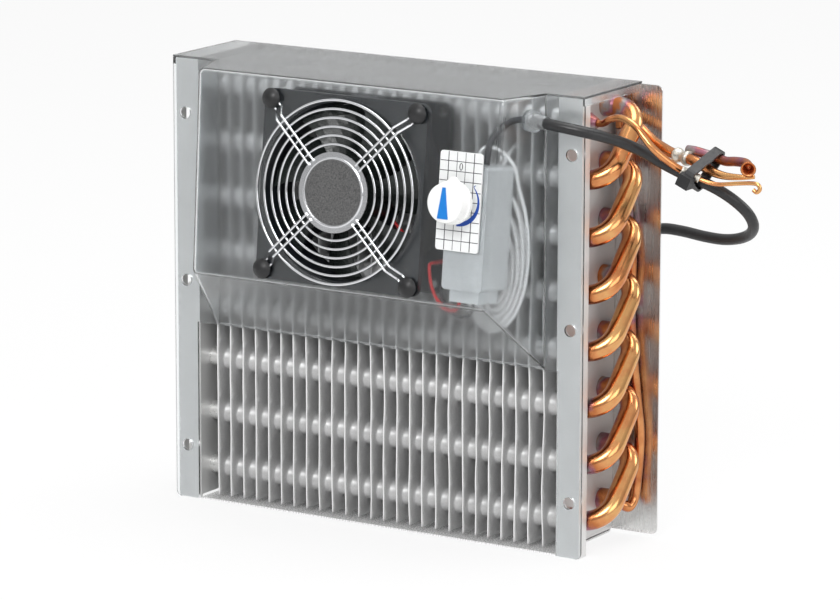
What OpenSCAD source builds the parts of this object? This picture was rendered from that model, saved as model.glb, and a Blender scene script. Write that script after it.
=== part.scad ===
/* [Case] */
// Width over both mounting flanges
case_w = 234; // [210:1:280]
// Height from the bottom plate to the top of the cover
case_h = 224; // [205:1:260]
// Depth from the front of the rims to the back panel
case_d = 55; // [50:1:70]
// Thickness of the case's aluminium sheet
sheet_t = 0.8; // [0.6:0.1:1.2]
// Width of each mounting flange
flange_w = 13.5; // [12:0.5:18]
// Depth of the return lip on each flange
lip_d = 6.8; // [5:0.2:12]
// How far the back panel runs past the end plate on the pipe side
panel_tail = 25; // [22:1:40]
// Gap under the end plates and the back panel's tail
plate_lift = 2; // [1:0.5:4]

/* [Mounting holes] */
// Diameter of the screw holes in the flanges
hole_d = 6; // [4:0.5:7]
// Distance from a flange's outer edge to its holes
hole_inset = 6.8; // [6:0.1:8]
// Distance from the top of the case to the upper holes
hole_drop = 28.4; // [20:0.1:36]
// Distance between neighbouring holes
hole_pitch = 84.3; // [70:0.1:90]

/* [Cover] */
// Wall of the clear cover
cover_t = 1.2; // [0.8:0.1:2]
// Width of the hood at the flanges
hood_w = 188; // [176:1:196]
// Sideways offset of the hood and what it holds
hood_shift = 2.5; // [0:0.5:4]
// How far the hood's top edge stands forward of the rims
hood_top_d = 26.5; // [24:0.5:34]
// Lean of the hood's face, in degrees
face_tilt = 6.2; // [4:0.2:8]
// Distance from the top of the case down to the lower edge of the face
face_drop = 99; // [94:1:109]
// Distance from the top of the case down to the end of the hood's underside
hood_drop = 133.3; // [126:0.1:142]
// How much the hood's sides draw in for each mm of depth
hood_draft_share = 0.28; // [0.1:0.02:0.4]
// Radius of the hood's outer edges
hood_r = 3; // [2:0.5:5]
// Radius of the cover's upper corners
cover_corner_r = 3; // [2:0.5:5]
// Height of the cover's folded-down side edges
cover_lip_h = 4.5; // [3:0.5:8]

/* [Coil] */
// Outer diameter of the coil tubes
tube_d = 9.52; // [8:0.04:10]
// Wall of the coil tubes
tube_wall = 0.7; // [0.4:0.1:1]
// Distance from the top of the case to the first row of tubes
tube_drop = 14.4; // [12:0.2:18]
// Height of the lowest row of tubes
tube_bottom_z = 15.7; // [14:0.1:20]
// Distance from the front of the rims to the front tubes
tube_front = 13.6; // [10:0.2:16]
// Distance from the back panel to the back tubes
tube_back = 12; // [10:0.2:14]
// How much higher the back tubes lie
row_rise = 3.5; // [0:0.5:5]
// Number of tube rows
rows = 8; // [6:1:8]
// How far the tubes stand out of the end plates
tube_stub = 4; // [3:0.5:6]
// Radius of the return bends' quarter turns
bend_r = 12.7; // [11:0.1:14]

/* [Fins] */
// Number of fins
fins_n = 26; // [18:1:30]
// Thickness of a fin
fin_t = 0.3; // [0.2:0.05:0.5]
// Clearance from the end plates to the first and the last fin
fin_margin = 9.8; // [6:0.2:12]
// Clearance in front of, behind, above and below the fins
fin_gap = 2; // [1.5:0.1:3]
// Wall of the collars that the fins grip the tubes with
collar_t = 0.45; // [0.3:0.05:0.8]

/* [Fan] */
// Side of the square fan frame
fan_w = 92; // [86:1:96]
// Depth of the fan frame
fan_depth = 25; // [22:1:26]
// Distance from the hood's top edge to the fan's axis
fan_drop = 52; // [50:0.5:58]
// Sideways offset of the fan's axis from the case's middle
fan_x = 1.5; // [-4:0.5:6]
// Diameter of the fan's bore
fan_bore_d = 86; // [80:1:88]
// Distance between the fan's fixing holes
fan_hole_pitch = 82.5; // [78:0.5:84]
// Diameter of the impeller over its blades
impeller_d = 83; // [76:1:84]
// Diameter of the impeller's hub
hub_d = 36; // [34:1:40]
// Depth of the impeller's hub
hub_h = 18; // [16:0.5:19]
// Number of blades
blades_n = 7; // [5:1:9]
// Distance from the frame's front to the hub's front
hub_recess = 2.2; // [2:0.1:4]
// Diameter of the fan shaft
shaft_d = 3; // [2.5:0.1:4]
// Running clearance round the shaft and the spindle
running_gap = 0.04; // [0.02:0.01:0.08]

/* [Finger guard] */
// Diameter of the guard's wire
wire_d = 1.3; // [1:0.1:2]
// Height of the guard's rings over the cover
guard_h = 5; // [4:0.5:8]
// Radius of the guard's outer ring
guard_r = 44; // [42:0.5:45]
// Number of rings
rings_n = 6; // [4:1:7]
// Distance between neighbouring rings
ring_step = 4.2; // [3.8:0.1:5]
// Distance between the two wires of a spoke
spoke_gap = 3.3; // [2.4:0.1:4]
// Radius of the guard's centre disc
disc_r = 19.4; // [17:0.1:20]
// Diameter of the rivet heads
rivet_head_d = 10; // [8:0.5:11]
// Diameter of the rivet shanks
rivet_d = 4.2; // [3.5:0.1:4.4]

/* [Thermostat] */
// Distance from the hood's side at the flanges to the thermostat's axis
thermo_inset = 28; // [25:0.5:29]
// Distance from the hood's top edge to the thermostat's axis
thermo_drop = 49.8; // [46:0.2:56]
// Width of the dial plate
dial_w = 23.4; // [22:0.2:25]
// Height of the dial plate
dial_h = 47; // [44:0.5:52]
// Thickness of the dial plate
dial_t = 0.8; // [0.5:0.1:1.2]
// Diameter of the knob
knob_d = 21; // [18:0.5:21.5]
// Height of the knob
knob_h = 9; // [8:0.5:14]
// Diameter of the spindle
spindle_d = 6; // [5:0.1:7]
// Width of the thermostat's body
thermo_w = 22; // [20:0.5:28]
// Height of the thermostat's body
thermo_h = 59; // [54:0.5:62]
// Depth of the thermostat's body
thermo_d = 22.4; // [19:0.1:22.6]

/* [Lines and cable] */
// Diameter of the suction line and its riser
suction_d = 5.2; // [4.4:0.1:5.6]
// Diameter of the inlet line
inlet_d = 3.4; // [3:0.1:4]
// Diameter of the capillary tail
tail_d = 2; // [1.6:0.1:2.2]
// Diameter of the supply cable
cable_d = 5.4; // [4.6:0.1:5.6]
// Diameter of the leads inside the hood
lead_d = 1.6; // [1.2:0.1:1.8]
// Width of the cable tie
tie_w = 4.8; // [3.6:0.1:6]
// Diameter of the thermostat's sensing tube
sensor_d = 1.8; // [1.4:0.1:2]
// Number of loops of the sensing tube
sensor_loops = 10; // [6:2:12]
// Turns of the stored cable in each of its two layers
cable_turns = 2; // [1:1:2]

/* [Hidden] */
$fn = 48;
// Overrun of every cut
cut = 1;
// Gap between neighbouring pieces that lie on each other
seat_gap = 0.05;
// Clearance of pressed-on pieces, on the radius
fit_gap = 0.02;
// Gap between the sheet metal and the clear cover's side edges
skin_gap = 0.2;

front_y = -case_d / 2;
back_y = case_d / 2;
side_x = case_w / 2;
plate_x = side_x - flange_w;
metal_x = side_x - cover_t - skin_gap;
metal_y = front_y + cover_t + seat_gap;
metal_top = case_h - cover_t - seat_gap;
tail_x = plate_x + panel_tail;
sheet_bend = 2 * sheet_t;

tube_r = tube_d / 2;
bore_r = tube_r - tube_wall;
row_pitch = (case_h - tube_drop - tube_bottom_z) / (rows - 1);
front_row_y = front_y + tube_front;
back_row_y = back_y - tube_back;
row_gap = back_row_y - front_row_y;
row_span = norm([row_gap, row_rise]);
row_lean = atan(row_rise / row_gap);
stub_x = plate_x + sheet_t + tube_stub;
bell_l = tube_stub + sheet_t;
bell_t = 0.7;
solder_l = 1.2;

fin_pitch = 2 * (plate_x - fin_margin) / (fins_n - 1);
fin_top = metal_top - fin_gap;
fin_base = sheet_t + fin_gap;
collar_l = fin_pitch - 2 * fin_t;
collar_r = tube_r + collar_t;

face_bottom_z = case_h - face_drop;
hood_bottom_z = case_h - hood_drop;
depth_at_bottom = hood_top_d + (case_h - face_bottom_z) * tan(face_tilt);
hood_draft = atan(hood_draft_share);
face_side = hood_w / 2 - hood_draft_share * depth_at_bottom;
hood_side = hood_shift + hood_w / 2;
thermo_x = hood_side - thermo_inset;

// Heights of the tube rows, front and back
function front_z(i) = case_h - tube_drop - i * row_pitch;
function back_z(i) = front_z(i) + row_rise;
function unit(v) = v / norm(v);
// Corner of an outline, moved in by r from its two edges with outward normals a and b
function inset_corner(p, a, b, r) = p - r * (a + b) / (1 + a * b);
// Points of an arc
function arc(c, r, from, to, n) = [for (k = [0 : n]) let (a = from + (to - from) * k / n) c + r * [cos(a), sin(a)]];
// Outline of a rectangle with round corners, centred
function round_rect(w, h, r, n = 6) = [for (q = [0 : 3]) let (
        sx = q == 0 || q == 3 ? 1 : -1,
        sy = q < 2 ? 1 : -1)
    each arc([sx * (w / 2 - r), sy * (h / 2 - r)], r, 90 * q, 90 * q + 90, n)];
// A point of a smooth curve through the points p
function curve_at(p, i, t) = let (
        a = p[max(i - 1, 0)],
        b = p[i],
        c = p[i + 1],
        d = p[min(i + 2, len(p) - 1)])
    (2 * b + (c - a) * t + (2 * a - 5 * b + 4 * c - d) * t * t + (3 * b - a - 3 * c + d) * t * t * t) / 2;
function curve(p, n) = concat([for (i = [0 : len(p) - 2]) for (k = [0 : n - 1]) curve_at(p, i, k / n)],
    [p[len(p) - 1]]);
function heading(p, i) = unit(p[min(i + 1, len(p) - 1)] - p[max(i - 1, 0)]);
function square_to(v, h) = unit(v - (v * h) * h);
// Side vectors that don't twist along a path
function sides_along(p, lead) = [for (i = 0, s = square_to(lead, heading(p, 0));
    i < len(p);
    i = i + 1, s = i < len(p) ? square_to(s, heading(p, i)) : s) s];
function ring(c, h, s, r, n) = [for (k = [0 : n - 1]) c + r * (cos(360 * k / n) * s + sin(360 * k / n) * cross(h, s))];
function along(p, from = 0) = from >= len(p) - 1 ? 0 : norm(p[from + 1] - p[from]) + along(p, from + 1);

// One closed skin through rings of the path, each station being the path's index and the ring's radius
module ring_skin(path, stations, sides, lead = [0, 0, 1]) {
    s = sides_along(path, lead);
    rings = [for (q = stations) each ring(path[q[0]], heading(path, q[0]), s[q[0]], q[1], sides)];
    last = (len(stations) - 1) * sides;
    polyhedron(rings, concat(
        [[for (k = [0 : sides - 1]) k]],
        [[for (k = [sides - 1 : -1 : 0]) last + k]],
        [for (i = [0 : len(stations) - 2]) for (k = [0 : sides - 1]) let (
                a = i * sides + k,
                b = i * sides + (k + 1) % sides)
            each [[b, a, a + sides], [b, a + sides, b + sides]]]));
}
module rod(path, d, sides, lead = [0, 0, 1])
    ring_skin(path, [for (i = [0 : len(path) - 1]) [i, d / 2]], sides, lead);
// A pipe that is open at its far end for a depth of some rings, with the end flared to d_end
module open_pipe(path, d, d_end, wall, depth, sides, lead = [0, 0, 1]) {
    n = len(path) - 1;
    ring_skin(path, concat(
        [for (i = [0 : n - 1]) [i, d / 2]],
        [[n, d_end / 2], [n, d_end / 2 - wall]],
        [for (i = [n - 1 : -1 : n - depth]) [i, d / 2 - wall]]), sides, lead);
}
// Places things on the hood's face: x to the side, drop down the face, z out of it
module on_face(x, drop)
    translate([x, front_y - hood_top_d - drop * sin(face_tilt), case_h - drop * cos(face_tilt)])
        rotate([90 - face_tilt, 0, 0])
            children();
module at_fan_corners()
    for (sx = [-1, 1], sy = [-1, 1])
        translate([sx * fan_hole_pitch / 2, sy * fan_hole_pitch / 2, 0])
            children();
module on_fan() on_face(fan_x, fan_drop) children();
module on_thermostat() on_face(thermo_x, thermo_drop) children();
// Ends of the tubes on one side, i counted from the top
module at_tubes(x)
    for (i = [0 : rows - 1], b = [0, 1])
        translate([x, b ? back_row_y : front_row_y, b ? back_z(i) : front_z(i)])
            rotate([0, 90, 0])
                children();

// Screw holes of the flanges, through the rims and the metal
module flange_holes(sx)
    for (i = [0 : 2])
        translate([sx * (side_x - hole_inset), front_y - cut, case_h - hole_drop - i * hole_pitch])
            rotate([-90, 0, 0])
                cylinder(d = hole_d, h = cover_t + sheet_t + 3 * cut);

// Back and bottom in one folded sheet, with the tail that backs the pipes
panel_corner_r = 3;
panel_left = -plate_x - 6;
module rear_panel() color("silver") {
    panel_h = metal_top - plate_lift;
    panel_w = tail_x - panel_left;
    translate([(tail_x + panel_left) / 2, back_y, plate_lift + panel_h / 2])
        rotate([90, 0, 0])
            linear_extrude(sheet_t)
                polygon(round_rect(panel_w, panel_h, panel_corner_r));
    bottom_x = plate_x - sheet_t - seat_gap;
    rotate([90, 0, 90])
        translate([0, 0, -bottom_x])
            linear_extrude(2 * bottom_x)
                polygon(concat(
                    [[metal_y, 0]],
                    arc([back_y - sheet_bend, sheet_bend], sheet_bend, -90, 0, 6),
                    [[back_y, plate_lift + sheet_bend], [back_y - sheet_t, plate_lift + sheet_bend]],
                    arc([back_y - sheet_bend, sheet_bend], sheet_bend - sheet_t, 0, -90, 6),
                    [[metal_y, sheet_t]]));
}
// An end plate with its flange and return lip, for the right side
module end_plate_form() {
    rise = metal_top - plate_lift;
    difference() {
        union() {
            translate([plate_x - sheet_t, metal_y, plate_lift])
                cube([sheet_t, back_y - sheet_t - seat_gap - metal_y, rise]);
            translate([plate_x - sheet_t, metal_y, 0])
                cube([metal_x - plate_x + sheet_t, sheet_t, metal_top]);
            translate([metal_x - sheet_t, metal_y, 0])
                cube([sheet_t, lip_d, metal_top]);
        }
        at_tubes(plate_x - sheet_t - cut)
            cylinder(r = tube_r + seat_gap, h = sheet_t + 2 * cut);
        flange_holes(1);
    }
}
module right_end_plate() color("gainsboro") end_plate_form();
module left_end_plate() color("gainsboro") mirror([1, 0, 0]) end_plate_form();

// The hood's solid form, drawn in by a wall all round; sides are planes, front edges are round
module hood_form(wall, reach) {
    face_out = [-cos(face_tilt), sin(face_tilt)];
    under_out = unit([hood_bottom_z - face_bottom_z, -depth_at_bottom]);
    top_at = inset_corner([-hood_top_d, case_h], face_out, [0, 1], hood_r);
    low_at = inset_corner([-depth_at_bottom, face_bottom_z], face_out, under_out, hood_r);
    side = hood_w / 2 - hood_r / cos(hood_draft);
    hull() {
        for (sx = [-1, 1], p = [top_at, low_at])
            translate([hood_shift + sx * (side + hood_draft_share * p[0]), front_y + p[0], p[1]])
                sphere(r = hood_r - wall, $fn = 20);
        translate([hood_shift - hood_w / 2 + wall / cos(hood_draft), front_y, hood_bottom_z + wall / abs(under_out[1])])
            cube([hood_w - 2 * wall / cos(hood_draft), reach,
                case_h - hood_bottom_z - wall - wall / abs(under_out[1])]);
    }
}
fan_opening_r = guard_r;
module front_cover() color([0.8, 0.85, 0.88, 0.4])
    difference() {
        union() {
            hood_form(0, cover_t);
            translate([0, front_y + cover_t, case_h / 2])
                rotate([90, 0, 0])
                    linear_extrude(cover_t)
                        polygon(round_rect(case_w, case_h, cover_corner_r));
            translate([-side_x, front_y, case_h - cover_t])
                cube([case_w, case_d, cover_t]);
            for (sx = [-1, 1])
                translate([sx > 0 ? side_x - cover_t : -side_x, front_y, case_h - cover_lip_h])
                    cube([cover_t, case_d - sheet_t - seat_gap, cover_lip_h]);
        }
        hood_form(cover_t, cover_t + cut);
        translate([-plate_x, front_y - cut, -cut])
            cube([2 * plate_x, cover_t + 2 * cut, hood_bottom_z + cut]);
        for (sx = [-1, 1])
            flange_holes(sx);
        on_fan() {
            translate([0, 0, -cover_t - cut])
                cylinder(r = fan_opening_r, h = cover_t + 2 * cut, $fn = 96);
            translate([0, 0, -cover_t - cut])
                at_fan_corners()
                    cylinder(d = rivet_d + 2 * seat_gap, h = cover_t + 2 * cut);
        }
        on_thermostat()
            translate([0, 0, -cover_t - cut])
                cylinder(d = bush_d + 2 * seat_gap, h = cover_t + 2 * cut);
        on_grommet()
            translate([0, 0, -cover_t - cut])
                cylinder(d = grommet_neck_d + 2 * seat_gap, h = cover_t + 2 * cut);
    }

// A fin with the collars that it grips the tubes with
module fin() {
    rotate([90, 0, 90]) {
        linear_extrude(fin_t)
            difference() {
                translate([metal_y + fin_gap, fin_base])
                    square([back_y - sheet_t - fin_gap - metal_y - fin_gap, fin_top - fin_base]);
                fin_circles(tube_r + seat_gap);
            }
        linear_extrude(collar_l)
            difference() {
                fin_circles(collar_r);
                fin_circles(tube_r + seat_gap);
            }
    }
}
module fin_circles(r)
    for (i = [0 : rows - 1]) {
        translate([front_row_y, front_z(i)])
            circle(r = r, $fn = 32);
        translate([back_row_y, back_z(i)])
            circle(r = r, $fn = 32);
    }
module fins() color("lightgray")
    for (i = [0 : fins_n - 1])
        translate([-plate_x + fin_margin + i * fin_pitch - fin_t / 2, 0, 0])
            fin();

// A tube's cross-section
module tube_profile(r = tube_r, bore = bore_r)
    difference() {
        circle(r = r, $fn = 32);
        circle(r = bore, $fn = 32);
    }
// A hairpin runs through fins and plates and turns back outside the left plate
module hairpin(i)
    translate([-stub_x, front_row_y, front_z(i)])
        rotate([row_lean, 0, 0]) {
            for (y = [0, row_span])
                translate([0, y, 0])
                    linear_x(2 * stub_x) tube_profile();
            translate([0, row_span / 2, 0])
                rotate([0, 0, 90])
                    rotate_extrude(angle = 180)
                        translate([row_span / 2, 0])
                            tube_profile();
        }
module hairpin_tubes() color("lightgray")
    for (i = [0 : rows - 1])
        hairpin(i);

// A return bend joins a front tube to the back tube one row higher
cross_z = row_pitch + row_rise;
cross_span = norm([row_gap, cross_z]);
cross_lean = atan(cross_z / row_gap);
bend_start = 2;
module return_bend(i)
    translate([stub_x + seat_gap, front_row_y, front_z(i + 1)])
        rotate([cross_lean, 0, 0]) {
            linear_x(bend_start) tube_profile();
            translate([bend_start, bend_r, 0])
                rotate([0, 0, -90])
                    rotate_extrude(angle = 90)
                        translate([bend_r, 0])
                            tube_profile();
            translate([bend_start + bend_r, bend_r, 0])
                rotate([-90, 0, 0])
                    linear_extrude(cross_span - 2 * bend_r)
                        tube_profile();
            translate([bend_start, cross_span - bend_r, 0])
                rotate_extrude(angle = 90)
                    translate([bend_r, 0])
                        tube_profile();
            translate([0, cross_span, 0])
                linear_x(bend_start) tube_profile();
        }
module linear_x(l) rotate([0, 90, 0]) linear_extrude(l) children();
module return_bends() color("peru")
    for (i = [0 : rows - 2])
        return_bend(i);

// Belled sockets brazed over the joints of tubes and bends
module tube_bells() color("tan")
    for (i = [0 : rows - 1], b = [0, 1])
        translate([plate_x + seat_gap, b ? back_row_y : front_row_y, b ? back_z(i) : front_z(i)])
            rotate([0, 90, 0])
                difference() {
                    union() {
                        cylinder(r = tube_r + bell_t, h = bell_l + bend_start - solder_l);
                        translate([0, 0, bell_l + bend_start - solder_l])
                            cylinder(r1 = tube_r + bell_t, r2 = tube_r + 2 * seat_gap, h = solder_l);
                    }
                    translate([0, 0, -cut])
                        cylinder(r = tube_r + seat_gap, h = bell_l + bend_start + 2 * cut);
                }

// Reducers from the open coil tubes to the thin lines
inlet_reducer_l = 8;
outlet_reducer_l = 4;
module reducer(y, z, d, l)
    translate([stub_x + seat_gap, y, z])
        rotate([0, 90, 0])
            difference() {
                union() {
                    cylinder(r = tube_r, h = l / 2);
                    translate([0, 0, l / 2])
                        cylinder(r1 = tube_r, r2 = d / 2 + tube_wall, h = l / 2);
                }
                translate([0, 0, -cut])
                    cylinder(r = d / 2 - tube_wall, h = l + 2 * cut);
            }
module reducers() color("sienna") {
    reducer(front_row_y, front_z(0), inlet_d, inlet_reducer_l);
    reducer(back_row_y, back_z(rows - 1), suction_d, outlet_reducer_l);
}

// Routes of the lines and the cable, points chosen by hand on a case of these sizes, which move with the case's own
drawn_side = 117;
drawn_top = 224;
drawn_front_row = -13.9;
drawn_back_row = 15.5;
drawn_low = 19.2;
drawn_high = 180;
drawn_hood = 96.5;
drawn_thermo = 68.5;
drawn_fan = 1.5;
// The value v when the ends a and b move to c and d: beyond an end it keeps its distance, between them it spreads
function moved(v, a, b, c, d) = v < a ? c + v - a : v > b ? d + v - b : c + (v - a) * (d - c) / (b - a);
function lane(y) = moved(y, drawn_front_row, drawn_back_row, front_row_y, back_row_y);
function level(z) = moved(z, drawn_low, drawn_high, back_z(rows - 1), case_h + drawn_high - drawn_top);
function fitted(path) = [for (p = path) [side_x + p[0] - drawn_side, lane(p[1]), level(p[2])]];
// The same for what hangs in the hood, with the places along x between a and b spread to c and d
function in_hood(path, a, b, c, d) = [for (p = path) [moved(p[0], a, b, c, d), lane(p[1]), case_h + p[2] - drawn_top]];
riser_route = fitted([[112.5, 15.5, 19.2], [113.7, 15.5, 19.1], [116, 16.2, 17.4], [118, 19, 17], [118.8, 22.4, 24], [120.5, 22.8, 50],
    [118.5, 22.8, 70], [115.5, 22.8, 98], [114.5, 22.8, 120], [115, 22.8, 140], [112.5, 23.6, 159],
    [109, 23.8, 185], [107.8, 23.8, 201]]);
suction_route = fitted([[107.8, 23.8, 201.2], [107.8, 23.8, 206], [109.8, 23.7, 209], [114, 22.4, 206.5], [121.5, 19, 202.5],
    [131, 14.5, 198], [141, 9.5, 195.5], [147.5, 6.5, 194.5]]);
sleeve_route = fitted([[147.5, 6.5, 194.5], [152, 4.8, 194.2], [156.5, 3.2, 193.8]]);
suction_tail_route = fitted([[156.5, 3.2, 193.8], [161, 1.6, 193], [166, 0.6, 191.4], [171, -0.4, 189.6], [178, -1.4, 188.6],
    [186, -1.6, 188.8], [193, -0.4, 189.4]]);
process_route = fitted([[153.2, 7.5, 197.2], [156.8, 7, 197.2], [161, 6.9, 196.6], [168, 6.9, 195.3], [174, 6.4, 194],
    [180, 5.2, 194.6], [186, 3.2, 194.8], [190, -1, 194.2], [192, -5, 193.6]]);
inlet_route = fitted([[116.45, -13.9, 209.6], [118.4, -13.9, 209.6], [120.6, -14.4, 210.4], [124, -16, 212.4],
    [130, -17.6, 214], [135.8, -19, 213.2], [141.2, -20, 210.4], [145, -20.4, 206.6], [149.8, -20, 201.6],
    [154, -18, 197.6], [157.8, -15.6, 194.2], [160.6, -12.6, 191.6]]);
inlet_sleeve_route = fitted([[160.6, -12.6, 191.6], [164, -10, 189.4], [168, -8, 187.2]]);
tail_route = fitted([[168, -8, 187.2], [172.4, -7.2, 185.8], [178, -6.4, 185.4], [187.2, -5.6, 186.6], [194.4, -5.6, 187.4],
    [197.6, -5.6, 187], [198.6, -5.6, 185], [197, -5.6, 183.4], [195.2, -5.6, 184.4]]);
cable_start = [[92, -35.4, 211.8], [97, -36.8, 211.8], [103, -38.4, 211.6]];
cable_rest = [[110.4, -38.8, 211], [119, -36.6, 209.6],
    [127, -31.6, 207.4], [134, -24, 204], [140.6, -15.4, 199], [148.4, -7.4, 192.4], [158, -2.4, 187],
    [166.4, -0.4, 184], [173.6, 1.8, 180.6], [180, 5.4, 175.6], [184, 10.6, 169.4], [183.8, 16.8, 162.8],
    [179, 23, 157.2], [170.4, 28.6, 153], [159, 33.6, 150.4], [146, 38, 149.8], [132, 42, 150.2],
    [119.4, 45, 149.6], [108, 48, 145.6], [100.4, 50.4, 136.4], [96.4, 52.4, 122], [94.8, 53.8, 103],
    [94.2, 55.2, 82], [94, 57, 62], [93, 60.4, 42], [89.4, 66, 24.6], [82, 74, 11.6], [72, 81.4, 4.8],
    [62, 85.4, 2.8], [52, 86, 2.7], [36, 86, 2.7], [20, 86, 2.7]];
cable_ground = 2.7;
cable_end = 20;
cable_route = concat(
    [for (p = cable_start) [hood_side + p[0] - drawn_hood, lane(p[1]), case_h + p[2] - drawn_top]],
    [for (p = cable_rest) [moved(p[0], cable_end, cable_end + 80, cable_end, cable_end + 80 + side_x - drawn_side), lane(p[1]),
        moved(p[2], cable_ground, drawn_high, cable_d / 2, case_h + drawn_high - drawn_top)]]);

module suction_riser() color("peru") rod(curve(riser_route, 2), suction_d, 12, [1, 0, 0]);
module suction_line() color("peru") rod(curve(suction_route, 3), suction_d, 12, [1, 0, 0]);
sleeve_bulge = 1.3;
module suction_sleeve() color("silver") {
    path = curve(sleeve_route, 4);
    n = len(path) - 1;
    ring_skin(path, [for (i = [0 : n]) [i, suction_d / 2 + sleeve_bulge * (0.45 + 0.4 * sin(360 * 1.5 * i / n))]], 16);
}
pinch_share = 0.35;
module suction_tail() color("peru") {
    path = curve(suction_tail_route, 3);
    n = len(path) - 1;
    ring_skin(path, [for (i = [0 : n]) [i, suction_d / 2 * (1 - (1 - pinch_share) * pow(max(0, i / n - 0.3) / 0.7, 1.2))]], 12);
}
flare_d = 7.4;
process_d = 4.6;
sleeve_d = inlet_d + 0.8;
module process_tube() color("chocolate")
    open_pipe(curve(process_route, 3), process_d, flare_d, tube_wall, 4, 12);
module inlet_line() color("peru") rod(curve(inlet_route, 3), inlet_d, 10, [0, 1, 0]);
module inlet_sleeve() color("silver") rod(curve(inlet_sleeve_route, 2), sleeve_d, 12, [0, 1, 0]);
module capillary_tail() color("peru") rod(curve(tail_route, 4), tail_d, 8, [0, 1, 0]);

// The tie goes round the lines and the cable where they pass tie_at
tie_at = fitted([[165.5, 0, 188.5]])[0];
tie_lean = 24;
tie_t = 1.2;
tie_gap = 0.35;
tie_head = [6, 8, 6.5];
tie_axis = [cos(tie_lean), 0, -sin(tie_lean)];
// Place across the tie of a route's point, along the tie's own axes
function in_tie(p) = let (v = p - tie_at)
    [-v[0] * sin(tie_lean) - v[2] * cos(tie_lean), v[1]];
// The part of a path that lies inside the tie's width and reach
tie_reach = 20;
function near_tie(path) = [for (p = path) if (norm(p - tie_at) < tie_reach && abs((p - tie_at) * tie_axis) < tie_w) p];
module tied(path, d, more)
    for (p = near_tie(path))
        translate(in_tie(p))
            circle(d = d + 2 * more, $fn = 24);
module tie_outline(more)
    hull() {
        tied(curve(suction_tail_route, 4), suction_d, more);
        tied(curve(process_route, 4), process_d, more);
        tied(curve(cable_route, 4), cable_d, more);
        tied(curve(inlet_sleeve_route, 4), sleeve_d, more);
        tied(curve(tail_route, 4), sleeve_d, more);
    }
tie_head_at = [1.5, -14.6];
module cable_tie() color([0.12, 0.12, 0.12])
    translate(tie_at)
        rotate([0, 90 + tie_lean, 0])
            translate([0, 0, -tie_w / 2])
                difference() {
                    union() {
                        linear_extrude(tie_w)
                            tie_outline(tie_gap + tie_t);
                        translate([tie_head_at[0] - tie_head[0] / 2, tie_head_at[1] - tie_head[1] / 2, (tie_w - tie_head[2]) / 2])
                            cube(tie_head);
                    }
                    translate([0, 0, -cut - tie_head[2]])
                        linear_extrude(tie_w + 2 * cut + 2 * tie_head[2])
                            tie_outline(tie_gap);
                }

// Fan: a square frame with a round bore, and what turns in it
fan_flange_t = 3.6;
fan_corner_r = 5;
fan_wall_r = fan_w / 2 - 0.5;
strut_w = 4;
strut_t = 3;
base_r = 20;
base_t = 2.5;
post_r = 5;
post_bore_r = 4.05;
strut_turns_share = [0.11, 0.36, 0.61, 0.86];
module fan_frame() color([0.15, 0.17, 0.16])
    on_fan()
        translate([0, 0, -cover_t - seat_gap - fan_depth]) {
            difference() {
                union() {
                    for (z = [0, fan_depth - fan_flange_t])
                        translate([0, 0, z])
                            linear_extrude(fan_flange_t)
                                polygon(round_rect(fan_w, fan_w, fan_corner_r));
                    cylinder(r = fan_wall_r, h = fan_depth, $fn = 96);
                }
                translate([0, 0, -cut])
                    cylinder(d = fan_bore_d, h = fan_depth + 2 * cut, $fn = 96);
                translate([0, 0, -cut])
                    at_fan_corners()
                        cylinder(d = rivet_d + 2 * seat_gap, h = fan_depth + 2 * cut);
            }
            difference() {
                union() {
                    cylinder(r = base_r, h = base_t);
                    cylinder(r = post_r, h = post_h);
                    for (s = strut_turns_share)
                        rotate(360 * s)
                            translate([base_r - cut, -strut_w / 2, 0])
                                cube([fan_bore_d / 2 - base_r + 2 * cut, strut_w, strut_t]);
                }
                translate([0, 0, base_t / 2])
                    cylinder(r = post_bore_r, h = post_h);
            }
        }
hub_wall = 1.4;
boss_h = 3;
post_h = fan_depth - hub_recess - hub_wall - 3.4;
magnet_t = 1.6;
magnet_h = hub_h - 5;
magnet_inset = 1;
hub_z = -cover_t - seat_gap - hub_recess;
// Places things along the fan's axis, z up from the back of the frame
module in_fan(z) on_fan() translate([0, 0, -cover_t - seat_gap - fan_depth + z]) children();

blade_steps = 6;
blade_rings = 5;
blade_span = 42;
blade_sweep = 10;
blade_t = 1.4;
blade_h_share = 0.86;
// A point of a blade's skin: s runs out along the blade, u along its chord, w is 1 above and -1 below
function blade_point(s, u, w) = let (
        r = hub_d / 2 - 0.6 + s * (impeller_d / 2 - hub_d / 2 + 0.6),
        a = (u - 0.5) * blade_span * (1 - 0.12 * s) + blade_sweep * s * s,
        h = hub_h * blade_h_share * (1 - 0.22 * s),
        z = (u - 0.5) * h + 1.4 * sin(180 * u) + w * blade_t / 2 * (0.35 + 0.65 * sin(180 * u)))
    [r * cos(a), r * sin(a), z];
module blade() {
    ns = blade_rings;
    nu = blade_steps;
    loop = concat([for (k = [0 : nu]) [k / nu, -1]], [for (k = [nu : -1 : 0]) [k / nu, 1]]);
    m = len(loop);
    polyhedron([for (i = [0 : ns]) for (q = loop) blade_point(i / ns, q[0], q[1])], concat(
        [for (k = [0 : nu - 1]) each [[k, k + 1, m - 2 - k], [k, m - 2 - k, m - 1 - k]]],
        [for (k = [0 : nu - 1]) let (o = ns * m)
            each [[o + k + 1, o + k, o + m - 1 - k], [o + k + 1, o + m - 1 - k, o + m - 2 - k]]],
        [for (i = [0 : ns - 1]) for (k = [0 : m - 1]) let (
                a = i * m + k,
                b = i * m + (k + 1) % m)
            each [[b, a, a + m], [b, a + m, b + m]]]));
}
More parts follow.
